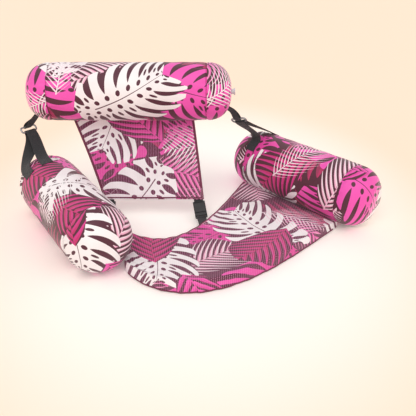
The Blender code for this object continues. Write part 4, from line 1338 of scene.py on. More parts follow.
@dataclass
class Sling:
    """The mesh sling between the arms, with its turned-down front lip."""

    left: Bolster
    right: Bolster
    attach_angle: float = math.radians(-50.0)
    left_span: tuple[float, float] = (0.400, 0.034)
    right_span: tuple[float, float] = (0.500, 0.085)
    rear_bulge: float = 0.300
    front_bulge: float = 0.196
    rear_skew: float = 1.20
    front_skew: float = 0.75
    rear_height: float = 0.022
    crease_height: float = 0.047
    lip_clearance: float = 0.0025
    lip_lean: float = 0.006
    roll: float = 0.0040
    sag: float = 0.004
    ease: float = 16.0
    cap_ease: float = 0.0014
    cloth: float = 0.0016
    columns: int = 181
    rows: int = 92
    lip_rows: int = 18
    row_gather: float = 0.8
    wall: float = 0.0012
    fan: float = 0.0026
    rear_wrinkle: float = 0.0012
    front_wrinkle: float = 0.0016
    ruffle: float = 0.0014
    left_ruffle: float = 0.0022
    band_steps: int = 110
    band_ends: tuple[float, float] = (0.02, 0.98)
    band_lap: float = 0.0006
    stitch_rows: tuple[float, float] = (0.016, 0.022)
    stitch_ends: tuple[int, int] = (4, 107)
    stitch_lift: float = 0.0018
    box_side: float = 0.028
    box_inset: float = 0.005
    box_steps: int = 16
    box_lift: float = 0.0010
    near_share: float = 0.16
    near_depth: float = 0.45
    strap_shares: tuple[float, float] = (0.180, 0.740)
    print_at: tuple[float, float] = (0.73, -0.05)

    def __post_init__(self) -> None:
        """Work out which way each arm faces the seat."""
        self.left_inward = -self.left.side if self.left.side.x < 0.0 else self.left.side.copy()
        self.right_inward = -self.right.side if self.right.side.x > 0.0 else self.right.side.copy()

    @property
    def sewn_offset(self) -> float:
        """Distance of the sling's middle from an arm where it is sewn on."""
        return self.cloth / 2.0 + TOUCH_GAP

    def edge_point(self, bolster: Bolster, inward: Vector, along: float) -> Vector:
        """Find where the sling meets an arm.

        Args:
            bolster: the arm.
            inward: the level direction from it to the seat.
            along: distance back from its near end.

        Returns:
            The point.
        """
        from_end = min(along, bolster.length - along)
        over_cap = max(1.0 - from_end / (2.0 * bolster.cap_depth), 0.0)
        return bolster.surface(along, self.attach_angle, self.sewn_offset + self.cap_ease * over_cap, inward)

    def sides(self, share: float) -> tuple[Vector, Vector]:
        """Find the points on the left and the right edge.

        Args:
            share: of the way from rear to front.

        Returns:
            The left and the right point.
        """
        (start, end), (first, last) = self.left_span, self.right_span
        left = self.edge_point(self.left, self.left_inward, start + (end - start) * share)
        return left, self.edge_point(self.right, self.right_inward, first + (last - first) * share)

    def arched(self, ends: tuple[Vector, Vector], share: float, bulge: float, skew: float,
               height: float) -> Vector:
        """Find a point on an edge that bulges forward.

        Args:
            ends: where the edge starts and ends.
            share: of the way along it.
            bulge: how far it comes forward.
            skew: over 1 moves the bulge to the right.
            height: of its middle.

        Returns:
            The point.
        """
        arch = math.sin(math.pi * share**skew)
        point = ends[0].lerp(ends[1], share)
        point.y -= bulge * arch
        point.z += (height - point.z) * math.sqrt(arch)
        return point

    def rear_edge(self, share: float) -> Vector:
        """Return a point on the open rear edge, from left to right."""
        return self.arched(self.sides(0.0), share, self.rear_bulge, self.rear_skew, self.rear_height)

    def crease(self, share: float) -> Vector:
        """Return a point on the crease where the cloth turns down, from left to right."""
        return self.arched(self.sides(1.0), share, self.front_bulge, self.front_skew, self.crease_height)

    def surface(self, across: float, forward: float) -> Vector:
        """Find a point of the sling before its wrinkles.

        Args:
            across: from 0 at the left to 1 at the right.
            forward: from 0 at the rear edge to 1 at the crease.

        Returns:
            The point.
        """
        rear, front = self.rear_edge(across), self.crease(across)
        lines = map(self.sides, (forward, 0.0, 1.0))
        side, first, last = (left.lerp(right, across) for left, right in lines)
        point = rear.lerp(front, forward) + side - first.lerp(last, forward)
        point.z -= self.sag * math.sin(math.pi * across) * math.sin(math.pi * forward) ** 2
        return self.beside_arms(point, across)

    def lip(self, across: float, share: float) -> Vector:
        """Return a point of the turned-down lip, from the crease to its lower hem.

        Args:
            across: from 0 at the left to 1 at the right.
            share: from 0 at the crease to 1 at the hem.

        Returns:
            The point.
        """
        top = self.crease(across)
        hem = top.copy()
        hem.z = self.lip_clearance
        hem.y -= self.lip_lean * math.sin(math.pi * across)
        point = top.lerp(hem, share)
        middle = math.sin(math.pi * across)
        point.y -= self.roll * math.sin(math.pi * share**0.55) * middle
        point.z -= self.roll * math.exp(-5.0 * share) * (1.0 - share) * middle
        return self.beside_arms(point, across)

    def beside_arms(self, point: Vector, across: float) -> Vector:
        """Return a point of the sling kept clear of both arms; its sewn edges lie closest."""
        clearance = self.sewn_offset * (1.0 + self.ease * math.sin(math.pi * across))
        return cleared(cleared(point, self.left, clearance), self.right, clearance)

    def wrinkled(self, point: Vector, across: float, forward: float) -> Vector:
        """Add the small folds that run in from the sewn and gathered edges.

        Args:
            point: of the sling.
            across: from 0 at the left to 1 at the right.
            forward: from 0 at the rear edge to 1 at the crease.

        Returns:
            The moved point.
        """
        middle, side = math.sin(math.pi * across), min(across, 1.0 - across)
        beside = math.exp(-6.0 * side) * min(1.0, 14.0 * side)
        fan = uneven(forward, 38.0, 3.0, 7.0) * beside * self.fan
        rear = uneven(across, 96.0, 2.0, 9.0) * math.exp(-16.0 * forward) * self.rear_wrinkle * middle
        front = uneven(across, 70.0, 2.5, 5.0) * math.exp(-9.0 * (1.0 - forward)) * self.front_wrinkle
        dip = self.roll * math.exp(-22.0 * (1.0 - forward))
        return point + UP * (fan + rear + (front - dip) * middle)

    def folded(self, point: Vector, across: float, share: float) -> Vector:
        """Add the lip's upright folds, which open towards the hem.

        Args:
            point: of the lip.
            across: from 0 at the left to 1 at the right.
            share: from 0 at the crease to 1 at the hem.

        Returns:
            The moved point.
        """
        wave = uneven(across, 70.0, 2.5, 5.0) + 0.5 * math.sin(151.0 * across + 1.0)
        ruffle = self.ruffle + self.left_ruffle * math.exp(-7.0 * across)
        point.y -= ruffle * wave * math.sin(math.pi * across) * math.sin(math.pi * (0.12 + 0.55 * share))
        return point

    def laid(self, across: float, forward: float) -> Vector:
        """Return a point of the sling with its wrinkles."""
        return self.wrinkled(self.surface(across, forward), across, forward)

    def hung(self, across: float, share: float) -> Vector:
        """Return a point of the lip with its folds."""
        return self.folded(self.lip(across, share), across, share)

    def cloth_piece(self, finish: Material) -> Object:
        """Make the sling and its lip as one cloth.

        Args:
            finish: the cloth.

        Returns:
            The sling.
        """
        points, places = [], []
        shares = [column / (self.columns - 1) for column in range(self.columns)]
        along, deep = self.print_at
        for row in range(self.rows):
            share = row / (self.rows - 1)
            forward = share - self.row_gather * math.sin(math.tau * share) / (math.tau)
            points.append([tuple(self.laid(across, forward)) for across in shares])
            places.append([(x + along, y + deep) for x, y, _ in points[-1]])
        tops = [self.crease(across) for across in shares]
        for row in range(1, self.lip_rows + 1):
            points.append([tuple(self.hung(across, row / self.lip_rows)) for across in shares])
            heights = [z for _, _, z in points[-1]]
            places.append([(top.x + along, top.y - (top.z - z) + deep) for top, z in zip(tops, heights)])
        grid = np.array(points)
        outward = np.tile(np.array([0.0, -0.4, 0.9]), (*grid.shape[:2], 1))
        obj = grid_object("sling_cloth", grid, np.array(places), finish, outward, False)
        return walled(obj, self.wall, 0.0)

    def edge_band(self, name: str, line: Callable[[float], Vector], inner: Callable[[float], Vector],
                  width: float, thickness: float, material: Material) -> Object:
        """Fold a narrow band over an edge of the cloth.

        Args:
            name: the band's name.
            line: the edge, by share.
            inner: a line beside it on the cloth, by share.
            width: of the band.
            thickness: of the band, cloth and all.
            material: the finish.

        Returns:
            The band.
        """
        stations = []
        first, last = self.band_ends
        for step in range(self.band_steps + 1):
            share = first + (last - first) * step / self.band_steps
            edge = line(share)
            way = (inner(share) - edge).normalized()
            stations.append((edge + way * (width / 2.0 - self.band_lap), way * (width / 2.0)))
        return ribbon(name, stations, thickness, material)

    def strap_box(self, share: float) -> list[list[Vector]]:
        """Return the crossed box of stitches that holds a strap under the rear edge.

        Args:
            share: place of the strap along the rear edge.

        Returns:
            The box's four sides and two diagonals, laid on the cloth.
        """
        shares = np.linspace(share - self.near_share, share + self.near_share, 90)
        depths = np.linspace(0.0, self.near_depth, 110)
        spots = np.array([tuple(self.laid(across, forward)) for across in shares for forward in depths])
        along = self.rear_edge(share + 0.01) - self.rear_edge(share - 0.01)
        along.z = 0.0
        along.normalize()
        inward = UP.cross(along)
        if inward.y > 0.0:
            inward.negate()
        edge, half = self.rear_edge(share), self.box_side / 2.0
        near, deep = self.box_inset, self.box_inset + self.box_side
        places = ((-half, near), (half, near), (half, deep), (-half, deep))
        rows = crossed_box([edge + along * u + inward * v for u, v in places], self.box_steps)
        for point in (point for row in rows for point in row):
            nearest = np.argsort((spots[:, 0] - point.x) ** 2 + (spots[:, 1] - point.y) ** 2)[:4]
            point.z = float(spots[nearest, 2].mean()) + self.box_lift
        return rows

    def make(self, finishes: Finishes, stitcher: Stitcher) -> None:
        """Build and dress the sling.

        Args:
            finishes: the chair's materials.
            stitcher: what sews its stitches.
        """
        cloth = self.cloth_piece(finishes.mesh)
        rear = self.edge_band(
            "sling_rear_hem", lambda s: self.wrinkled(self.rear_edge(s), s, 0.0),
            lambda s: self.surface(s, 0.03), 0.006, 0.0026, finishes.hem,
        )
        front = self.edge_band(
            "sling_front_hem", lambda s: self.hung(s, 1.0) + UP * 0.0004, lambda s: self.hung(s, 0.8),
            0.005, 0.0024, finishes.hem,
        )
        shares = [step / self.band_steps for step in range(*self.stitch_ends)]
        lift = UP * self.stitch_lift
        rows = [[self.laid(share, forward) + lift for share in shares] for forward in self.stitch_rows]
        stitches = stitcher.sew("sling_hem_stitches", rows, finishes.thread)
        boxes = self.strap_box(self.strap_shares[0]) + self.strap_box(self.strap_shares[1])
        boxes = stitcher.box("sling_strap_boxes", boxes, finishes.pale_thread)
        for obj in (cloth, rear, front, stitches, boxes):
            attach(obj, "seat")
        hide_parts("seat_sling")
        log.info("sling: cloth with %d faces, two hems, %d stitch rows", len(cloth.data.polygons), len(rows))


@dataclass
class BackPanel:
    """The mesh cloth that hangs from the back bolster down to the two buckles."""

    back: Bolster
    top_width: float = 0.400
    bottom_width: float = 0.330
    top_shift: float = 0.008
    bottom_shift: float = 0.075
    bottom_depth: float = 0.120
    bottom_height: float = 0.062
    billow: float = 0.010
    fold: float = 0.0025
    folds: int = 6
    cloth: float = 0.0020
    wall: float = 0.0012
    pull: float = 0.0022
    top_wrinkle: float = 0.0009
    strap_shares: tuple[float, float] = (0.050, 0.945)
    rows: int = 60
    columns: int = 121
    side_steps: int = 60
    lower_steps: int = 80
    hem_inset: float = 0.010
    lower_hem: float = 0.988
    hem_width: float = 0.008
    hem_thickness: float = 0.0024
    stitch_inset: float = 0.030
    lower_stitches: float = 0.955
    stitch_pitch: float = 0.0036
    stitch_lift: float = 0.0010
    box_width: float = 0.034
    box_height: float = 0.125
    box_foot: float = 0.985
    box_lift: float = 0.0012
    print_at: tuple[float, float] = (0.36, 0.68)

    def __post_init__(self) -> None:
        """Work out the middles of the upper and lower edges."""
        drop = self.back.radius * math.cos(math.pi / FACETS) + TOUCH_GAP + self.cloth / 4.0
        self.top_middle = self.back.centre + Vector((self.top_shift, 0.0, -drop))
        low = self.bottom_height - self.back.centre.z
        self.bottom_middle = self.back.centre + Vector((self.bottom_shift, -self.bottom_depth, low))

    def surface(self, across: float, down: float) -> Vector:
        """Find a point of the billowed panel before its pulls.

        Args:
            across: from 0 at the left to 1 at the right.
            down: from 0 at the bolster to 1 at the lower edge.

        Returns:
            The point.
        """
        width = self.top_width + (self.bottom_width - self.top_width) * down
        point = self.top_middle.lerp(self.bottom_middle, down)
        point.x += (across - 0.5) * width
        point.y += self.billow * math.sin(math.pi * down)
        folds = math.sin(math.tau * self.folds * across)
        point.y += self.fold * folds * math.sin(math.pi * down) * math.sin(math.pi * across) ** 2
        return point

    def creased(self, across: float, down: float) -> Vector:
        """Find a point of the panel, with the small pulls from its corners and its top seam.

        Args:
            across: from 0 at the left to 1 at the right.
            down: from 0 at the bolster to 1 at the lower edge.

        Returns:
            The point.
        """
        point = self.surface(across, down)
        pull = 0.0
        for corner, way in zip(self.strap_shares, (1.0, -1.0)):
            reach = math.hypot((across - corner) * 1.3, 1.0 - down)
            angle = math.atan2(1.0 - down, (across - corner) * way)
            pull += math.sin(9.0 * angle) * math.exp(-6.0 * reach) * min(1.0, 9.0 * reach) * self.pull
        top = uneven(across, 85.0, 3.0, 6.0) * math.exp(-9.0 * down) * self.top_wrinkle
        return point + BACKWARD * ((pull + top) * math.sin(math.pi * across))

    def make(self, finishes: Finishes, stitcher: Stitcher) -> None:
        """Build and dress the panel.

        Args:
            finishes: the chair's materials.
            stitcher: what sews its stitches.
        """
        tall = (self.bottom_middle - self.top_middle).length
        grid = np.array([
            [tuple(self.creased(c / (self.columns - 1), r / (self.rows - 1))) for c in range(self.columns)]
            for r in range(self.rows)
        ])
        down = np.linspace(0.0, tall, self.rows)[:, None]
        places = np.stack(
            [grid[..., 0] + self.print_at[0], np.broadcast_to(self.print_at[1] - down, grid.shape[:2])], -1
        )
        outward = np.tile(np.array([0.0, -1.0, 0.2]), (*grid.shape[:2], 1))
        cloth = grid_object("panel_cloth", grid, places, finishes.mesh, outward, False)
        cloth = walled(cloth, self.wall, 0.0)
        hems = [
            self.hem("panel_left_hem", self.upright(self.hem_inset), finishes),
            self.hem("panel_right_hem", self.upright(1.0 - self.hem_inset), finishes),
            self.hem("panel_lower_hem", self.level(self.lower_hem), finishes),
        ]
        rows = [
            self.upright(self.stitch_inset)[2:-1], self.upright(1.0 - self.stitch_inset)[2:-1],
            self.level(self.lower_stitches)[2:-2],
        ]
        rows = [[point - BACKWARD * self.stitch_lift for point in row] for row in rows]
        stitches = stitcher.sew("panel_stitches", rows, finishes.thread, self.stitch_pitch)
        boxes = self.corner_box(self.strap_shares[0]) + self.corner_box(self.strap_shares[1])
        boxes = stitcher.box("panel_corner_boxes", boxes, finishes.pale_thread)
        for obj in (cloth, stitches, boxes, *hems):
            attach(obj, "back")
        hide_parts("back_panel")
        faces = len(cloth.data.polygons)
        log.info("panel: cloth with %d faces, %d hems, %d stitch rows", faces, len(hems), len(rows))

    def upright(self, across: float) -> list[Vector]:
        """Return a line of points down the panel."""
        return [self.creased(across, step / self.side_steps) for step in range(self.side_steps + 1)]

    def level(self, down: float) -> list[Vector]:
        """Return a line of points across the panel, from left to right."""
        return [self.creased(step / self.lower_steps, down) for step in range(self.lower_steps + 1)]

    def hem(self, name: str, line: Sequence[Vector], finishes: Finishes) -> Object:
        """Fold one hem along a line of points on the panel.

        Args:
            name: the hem's name.
            line: the points.
            finishes: the chair's materials.

        Returns:
            The hem.
        """
        stations = []
        for i, point in enumerate(line):
            along = (line[min(i + 1, len(line) - 1)] - line[max(i - 1, 0)]).normalized()
            half = along.cross(Vector((0.0, -1.0, 0.2))).normalized() * (self.hem_width / 2.0)
            stations.append((point, half))
        return ribbon(name, stations, self.hem_thickness, finishes.hem)

    def corner_box(self, across: float) -> list[list[Vector]]:
        """Lay out the stitches that hold a strap behind the panel's corner.

        Args:
            across: the strap's place, from 0 at the left to 1 at the right.

        Returns:
            The box's four sides and two diagonals.
        """
        half, margin = self.box_width / self.bottom_width, 1.0 - self.lower_hem
        on_right = across > 0.5
        low = across - half if on_right else max(across - half / 2.0, margin)
        high = min(across + half / 2.0, 1.0 - margin) if on_right else across + half
        top, foot = 1.0 - self.box_height, self.box_foot
        places = ((low, top), (high, top), (high, foot), (low, foot))
        return crossed_box([self.creased(u, v) - BACKWARD * self.box_lift for u, v in places], 8)


@dataclass
class SideLink:
    """A webbing tab, a bent-wire ring and a webbing loop, between the back bolster and one arm."""

    name: str
    arm: Bolster
    inward: Vector
    back: Bolster
    ring_offset: Vector
    bar_way: Vector
    hang_way: Vector
    root: tuple[float, float]
    feet: tuple[tuple[float, float], ...]
    tails: tuple[tuple[float, float], ...]
    wire: float = 0.0060
    inner_length: float = 0.048
    inner_width: float = 0.012
    corner: float = 0.006
    loop_clearance: float = 0.0008
    webbing: float = 0.0016
    tab_width: float = 0.024
    strap_width: float = 0.038
    tab_spread: float = 0.8
    tab_bend_share: float = 0.35
    tab_steps: int = 8
    strap_steps: int = 14
    turn_steps: int = 12
    corner_steps: int = 8
    wire_around: int = 20
    stitch_share: float = 0.86
    stitch_lift: float = 0.0001
    loop_reach: float = 0.025
    held: float = 0.005

    def __post_init__(self) -> None:
        """Work out the ring's directions."""
        self.centre = self.back.centre + self.ring_offset
        self.bar = self.bar_way.normalized()
        self.down = (self.hang_way - self.bar * self.hang_way.dot(self.bar)).normalized()
        self.half_width = (self.inner_width + self.wire) / 2.0
        self.half_length = (self.inner_length + self.wire) / 2.0
        self.ring_body = self.name.removesuffix("_side") + "_ring"

    def bar_loop(self, bar: Vector, toward: Vector) -> list[Vector]:
        """Lead webbing half a turn round a bar.

        Args:
            bar: the bar's middle.
            toward: the way that the turn bulges.

        Returns:
            The points, from one flank to the other.
        """
        radius = self.wire / 2.0 + self.loop_clearance + self.webbing / 2.0
        side = self.bar.cross(toward)
        points = []
        for step in range(self.turn_steps + 1):
            angle = math.pi * step / self.turn_steps
            points.append(bar - side * (radius * math.cos(angle)) + toward * (radius * math.sin(angle)))
        return points

    def ring(self, finish: Material) -> Object:
        """Bend the ring's wire round four corners, with a fine closed joint.

        Args:
            finish: its metal.

        Returns:
            The ring.
        """
        places = []
        for turn, (u, v) in enumerate(((1, 1), (-1, 1), (-1, -1), (1, -1))):
            x, y = u * (self.half_length - self.corner), v * (self.half_width - self.corner)
            for step in range(self.corner_steps + 1):
                angle = math.pi / 2.0 * (turn + step / self.corner_steps)
                places.append((x + self.corner * math.cos(angle), y + self.corner * math.sin(angle)))
        rows = []
        normal = self.bar.cross(self.down)
        angles = [math.tau * step / self.wire_around for step in range(self.wire_around)]
        for i, (u, v) in enumerate(places):
            before, after = places[i - 1], places[(i + 1) % len(places)]
            along = (self.bar * (after[0] - before[0]) + self.down * (after[1] - before[1])).normalized()
            out = along.cross(normal)
            middle = self.centre + self.bar * u + self.down * v
            ways = [out * math.cos(angle) + normal * math.sin(angle) for angle in angles]
            rows.append([tuple(middle + way * (self.wire / 2.0)) for way in ways])
        rows.append(rows[0])
        grid = np.array(rows)
        outward = grid - grid.mean(1)[:, None, :]
        unprinted = np.zeros((len(rows), self.wire_around + 1, 2))
        return settled(welded(grid_object(self.name + "_ring_wire", grid, unprinted, finish, outward, True)))

    def tab(self, finish: Material) -> Object:
        """Hang a doubled tab from the back bolster, round the ring's upper bar.

        Args:
            finish: the webbing.

        Returns:
            The tab.
        """
        along, angle = self.root
        root = self.back.surface(along, angle, TOUCH_GAP, BACKWARD)
        rise = self.back.surface(along - TOUCH_GAP, angle, TOUCH_GAP, BACKWARD)
        fall = self.back.surface(along + TOUCH_GAP, angle, TOUCH_GAP, BACKWARD)
        beside = self.back.surface(along, angle + 0.01, TOUCH_GAP, BACKWARD)
        outward = (rise - fall).cross(beside - root).normalized()
        if outward.z > 0.0:
            outward.negate()
        bar = self.centre - self.down * self.half_width
        toward = (bar - root).normalized()
        toward = (toward - self.bar * toward.dot(self.bar)).normalized()
        turn = self.bar_loop(bar, toward)
        apart = (turn[0] - turn[-1]).normalized() * (self.webbing * self.tab_spread)
        start = root + outward * self.webbing
        bend = start + outward * ((bar - start).length * self.tab_bend_share)
        points = [start + apart, bend + apart, *turn, bend - apart, start - apart]
        path = smooth_path(points, self.tab_steps)
        stations = squared(path, [self.bar] * len(path), self.tab_width)
        return ribbon(self.name + "_tab_webbing", stations, self.webbing, finish)

    def strap_run(self) -> tuple[list[Station], Vector, Vector]:
        """Loop webbing over the ring's lower bar, with both ends sewn flat on the arm.

        Returns:
            The strap's stations, the middle of its feet and the ring's lower bar.
        """
        clearance = TOUCH_GAP + self.webbing / 2.0
        bar = self.centre + self.down * self.half_width
        legs, leg_ways = [], []
        for (foot_along, foot_angle), (tail_along, tail_angle) in zip(self.feet, self.tails):
            leg, ways = [], []
            for share in (1.0, 0.5, 0.0):
                along = foot_along + (tail_along - foot_along) * share
                angle = foot_angle + (tail_angle - foot_angle) * share
                lift = clearance + self.loop_clearance * 2.0 * (1.0 - share)
                leg.append(self.arm.surface(along, angle, lift, self.inward))
                ways.append(leg[-1] - self.arm.surface(along, angle, -self.arm.radius / 2.0, self.inward))
            run = (leg[2] - leg[0]).normalized()
            ways = [radial.cross(run).normalized() for radial in ways]
            if ways[0].dot(self.bar) < 0.0:
                ways = [-way for way in ways]
            legs.append(leg)
            leg_ways.append(ways)
        feet = (legs[0][2] + legs[1][2]) / 2.0
        down = (feet - bar).normalized()
        up = -(down - self.bar * down.dot(self.bar)).normalized()
        turn = self.bar_loop(bar, up)
        if (turn[0] - legs[0][2]).length > (turn[-1] - legs[0][2]).length:
            turn.reverse()
        points = [*legs[0], *turn, *reversed(legs[1])]
        ways = [*leg_ways[0], *([self.bar] * len(turn)), *reversed(leg_ways[1])]
        path, ways = smooth_path(points, self.strap_steps), blend_ways(ways, self.strap_steps)
        return squared(path, ways, self.strap_width), feet, bar

    def strap(self, stations: Sequence[Station], feet: Vector, bar: Vector,
              finish: Material) -> None:
        """Make the strap as two legs and a loop round the ring, in three pieces.

        Args:
            stations: of the whole strap.
            feet: middle of its two feet.
            bar: middle of the ring's lower bar.
            finish: the webbing.
        """
        way = (feet - bar).normalized()
        near = [i for i, (middle, _) in enumerate(stations) if (middle - bar).dot(way) < self.loop_reach]
        split = bar + way * self.loop_reach
        leg = ("seat", "back", feet, split + way * self.held)
        loop = ("back", self.ring_body, split - way * self.held, bar + way * self.held)
        spans = {
            "near_leg": (0, near[0], *leg), "loop": (near[0], near[-1], *loop),
            "far_leg": (near[-1], len(stations) - 1, *leg),
        }
        for part, (first, last, body, other, start, end) in spans.items():
            span = stations[first:last + 1]
            run = run_length(stations[:first + 1])
            piece = ribbon(f"{self.name}_strap_{part}", span, self.webbing, finish, run)
            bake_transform(piece)
            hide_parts(self.name + "_strap")

    def make(self, finishes: Finishes, stitcher: Stitcher) -> None:
        """Build and dress the link.

        Args:
            finishes: the chair's materials.
            stitcher: what sews its stitches.
        """
        ring = self.ring(finishes.steel)
        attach(ring, self.ring_body)
        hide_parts(self.name + "_ring")
        tab = self.tab(finishes.webbing)
        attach(tab, "back")
        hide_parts(self.name + "_tab")
        stations, feet, bar = self.strap_run()
        self.strap(stations, feet, bar, finishes.webbing)
        rows, sewn, share = [], 2 * self.strap_steps, self.stitch_share
        for foot in (stations[:sewn], stations[-sewn:]):
            lines = ((-share, -share), (share, share), (-share, share))
            rows += [self.foot_row(foot, start, end) for start, end in lines]
        stitches = stitcher.sew(
            self.name + "_strap_stitches", rows, finishes.black_thread, stitcher.CLOSE_PITCH
        )
        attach(stitches, "seat")
        log.info("%s: ring, tab, strap and %d stitch rows", self.name, len(rows))

    def foot_row(self, foot: Sequence[Station], start: float, end: float) -> list[Vector]:
        """Return a stitch row on a strap's foot, between two shares of its half width.

        Args:
            foot: the foot's stations.
            start: share of the half width where the row starts.
            end: and where it ends.

        Returns:
            The row's points.
        """
        row = []
        for i, (middle, half) in enumerate(foot):
            point = middle + half * (start + (end - start) * i / (len(foot) - 1))
            offset = point - self.arm.centre
            radial = offset - self.arm.axis * offset.dot(self.arm.axis)
            row.append(point + radial.normalized() * (self.webbing / 2.0 + self.stitch_lift))
        return row


@dataclass
class LowerBuckle:
    """A strap behind the panel, a side-release buckle and a strap under the sling."""

    name: str
    panel: BackPanel
    sling: Sling
    panel_share: float
    seat_share: float
    width: float = 0.040
    thickness: float = 0.0110
    bar: float = 0.0035
    bar_thickness: float = 0.0044
    socket_length: float = 0.043
    plug_base: float = 0.019
    panel_gap: float = 0.0045
    seat_lead: float = 0.0250
    buckle_drop: float = 0.0030
    webbing: float = 0.0016
    webbing_width: float = 0.030
    tail: float = 0.034
    panel_steps: int = 7
    sewn_steps: int = 4
    pressed: float = 0.35

    def __post_init__(self) -> None:
        """Work out the buckle's place and directions."""
        panel_end = self.panel.surface(self.panel_share, 1.0)
        seat_end = self.sling.surface(self.seat_share, 0.0)
        lead = panel_end - seat_end
        lead.z = 0.0
        seat_end += lead.normalized() * self.seat_lead
        seat_end.z -= 2.0 * TOUCH_GAP
        self.panel_end, self.seat_end = panel_end, seat_end
        self.forward = (panel_end - seat_end).normalized()
        self.top = RIGHTWARD.cross(self.forward).normalized()
        self.across = self.forward.cross(self.top)
        spare = (panel_end - seat_end).length - self.socket_length - self.plug_base
        drop = self.top * (self.level + self.behind(self.panel.cloth) + self.buckle_drop)
        self.mouth = seat_end - drop + self.forward * (spare - self.panel_gap + self.plug_base)

    @property
    def level(self) -> float:
        """Distance of webbing's middle from the middle of a buckle's bar."""
        return self.bar_thickness / 2.0 + TOUCH_GAP + self.webbing / 2.0

    def behind(self, cloth: float) -> float:
        """Return how far webbing's middle lies from the middle of the cloth it is sewn to."""
        return cloth / 2.0 + TOUCH_GAP + self.webbing / 2.0

    def at(self, across: float, forward: float, top: float = 0.0) -> Vector:
        """Return a point from sizes in the buckle's own directions."""
        return self.mouth + self.across * across + self.forward * forward + self.top * top

    def slot_loop(self, bar: float, inward: float) -> list[Vector]:
        """Return points of webbing round a bar, from on top of it, through the slot, to below.

        Args:
            bar: place of the bar along the buckle.
            inward: 1 or -1, the way along the buckle from the bar to its slot.

        Returns:
            The points.
        """
        beside = self.bar / 2.0 + TOUCH_GAP + self.webbing / 2.0
        corner = self.webbing / 2.0
        outside, inside = bar - inward * beside, bar + inward * beside
        bend = inside - inward * corner
        spots = (
            (outside, self.level), (bend, self.level), (inside, self.level - corner),
            (inside, corner - self.level), (bend, -self.level), (outside, -self.level),
        )
        return [self.at(0.0, forward, top) for forward, top in spots]

    def stations(self, edge: Vector, plane_way: Vector, normal: Vector, clearance: float, bar: float,
                 inward: float) -> list[Station]:
        """Return the stations of a strap sewn flat behind cloth and looped round one of the buckle's bars.

        Args:
            edge: middle of the line where the strap bends, in the middle of the cloth.
            plane_way: direction on the cloth that leads away from the buckle, square to X.
            normal: direction from the cloth to the strap.
            clearance: distance from the middle of the cloth to the middle of the nearer layer.
            bar: place of the bar along the buckle.
            inward: 1 or -1, the way along the buckle from the bar to its slot.

        Returns:
            The stations, from the nearer layer's tail round the bar to the farther layer's tail.
        """
        own_way = RIGHTWARD.cross(self.top)
        if own_way.dot(self.forward) < 0.0:
            own_way.negate()
        forward, across = (
            RIGHTWARD * way.dot(RIGHTWARD) + plane_way * -inward * way.dot(own_way)
            for way in (self.forward, self.across)
        )
        outward = forward * -inward
        half = across * (self.webbing_width / 2.0)
        cut = RIGHTWARD * (self.webbing_width / 2.0 / abs(across.dot(RIGHTWARD)))
        between = (normal - self.top).normalized()
        layers = []
        for depth in (clearance, clearance + self.webbing + TOUCH_GAP):
            shares = [1.0 - step / self.sewn_steps for step in range(self.sewn_steps)]
            sewn = [(edge + normal * depth + outward * (self.tail * share), half) for share in shares]
            layers.append([*sewn, (edge + between * (depth / normal.dot(between)), cut)])
        loop = [(point, self.across * (self.webbing_width / 2.0)) for point in self.slot_loop(bar, inward)]
        halfway = [
            (bend[0].lerp(start[0], 0.5), bend[1].lerp(start[1], 0.5))
            for bend, start in ((layers[0][-1], loop[0]), (layers[1][-1], loop[-1]))
        ]
        return [*layers[0], halfway[0], *loop, halfway[1], *reversed(layers[1])]

    def panel_strap(self, stations: Sequence[Station], edge: Vector, normal: Vector, bar: Vector,
                    finish: Material) -> None:
        """Make the panel's strap in parts that split at its two joints.

        The two sewn layers go on the back with the panel, and the bends and the loop stay where they are
        made.

        Args:
            stations: of the whole strap.
            edge: middle of the panel's edge at the strap.
            normal: direction from the panel to the strap.
            bar: middle of the socket's bar. Not used.
            finish: the webbing.
        """
        last, sewn = len(stations) - 1, self.sewn_steps
        halfway = (stations[sewn + 1][0] + stations[last - sewn - 1][0]) / 2.0
        spans = {
            "near_layer": (0, sewn), "near_bend": (sewn, sewn + 1), "loop": (sewn + 1, last - sewn - 1),
            "far_bend": (last - sewn - 1, last - sewn), "far_layer": (last - sewn, last),
        }
        for part, (first, end) in spans.items():
            run, span = run_length(stations[:first + 1]), stations[first:end + 1]
            piece = ribbon(f"{self.name}_panel_strap_{part}", span, self.webbing, finish, run)
            if part == "loop":
                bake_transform(piece)
            elif part.endswith("bend"):
                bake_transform(piece)
            else:
                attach(piece, "back")
                face = edge + normal * (self.behind(self.panel.cloth) - self.webbing / 2.0)
                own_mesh(piece)
            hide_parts(self.name + "_panel_strap")

    def make(self, finishes: Finishes) -> None:
        """Build the straps, and dress the buckle's CAD pieces.

        Args:
            finishes: the chair's materials.
        """
        edge = self.panel.surface(self.panel_share, 1.0)
        above = self.panel.surface(self.panel_share, 1.0 - 1.0 / (self.panel_steps - 1)) - edge
        above.x = 0.0
        above.normalize()
        normal = above.cross(RIGHTWARD)
        if normal.y < 0.0:
            normal.negate()
        bar = self.socket_length - self.bar / 2.0
        upper = self.stations(edge, above, normal, self.behind(self.panel.cloth), bar, -1.0)
        self.panel_strap(upper, edge, normal, self.at(0.0, bar), finishes.webbing)
        base, clearance = self.bar / 2.0 - self.plug_base, self.behind(self.sling.cloth)
        under = self.stations(self.seat_end, -BACKWARD, -UP, clearance, base, 1.0)
        lower = ribbon(self.name + "_seat_strap_webbing", under, self.webbing, finishes.webbing)
        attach(lower, "seat")
        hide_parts(self.name + "_seat_strap")
        for part in ("socket", "plug", "prong_a", "prong_b"):
            dress(f"{self.name}_buckle_{part}", finishes.plastic)
        log.info("%s: two straps and a buckle", self.name)


def dress(node: str, finish: Material) -> None:
    """Give a CAD node a better finish by its material slots."""
    for slot in frame["nodes"][node].material_slots:
        slot.material = finish


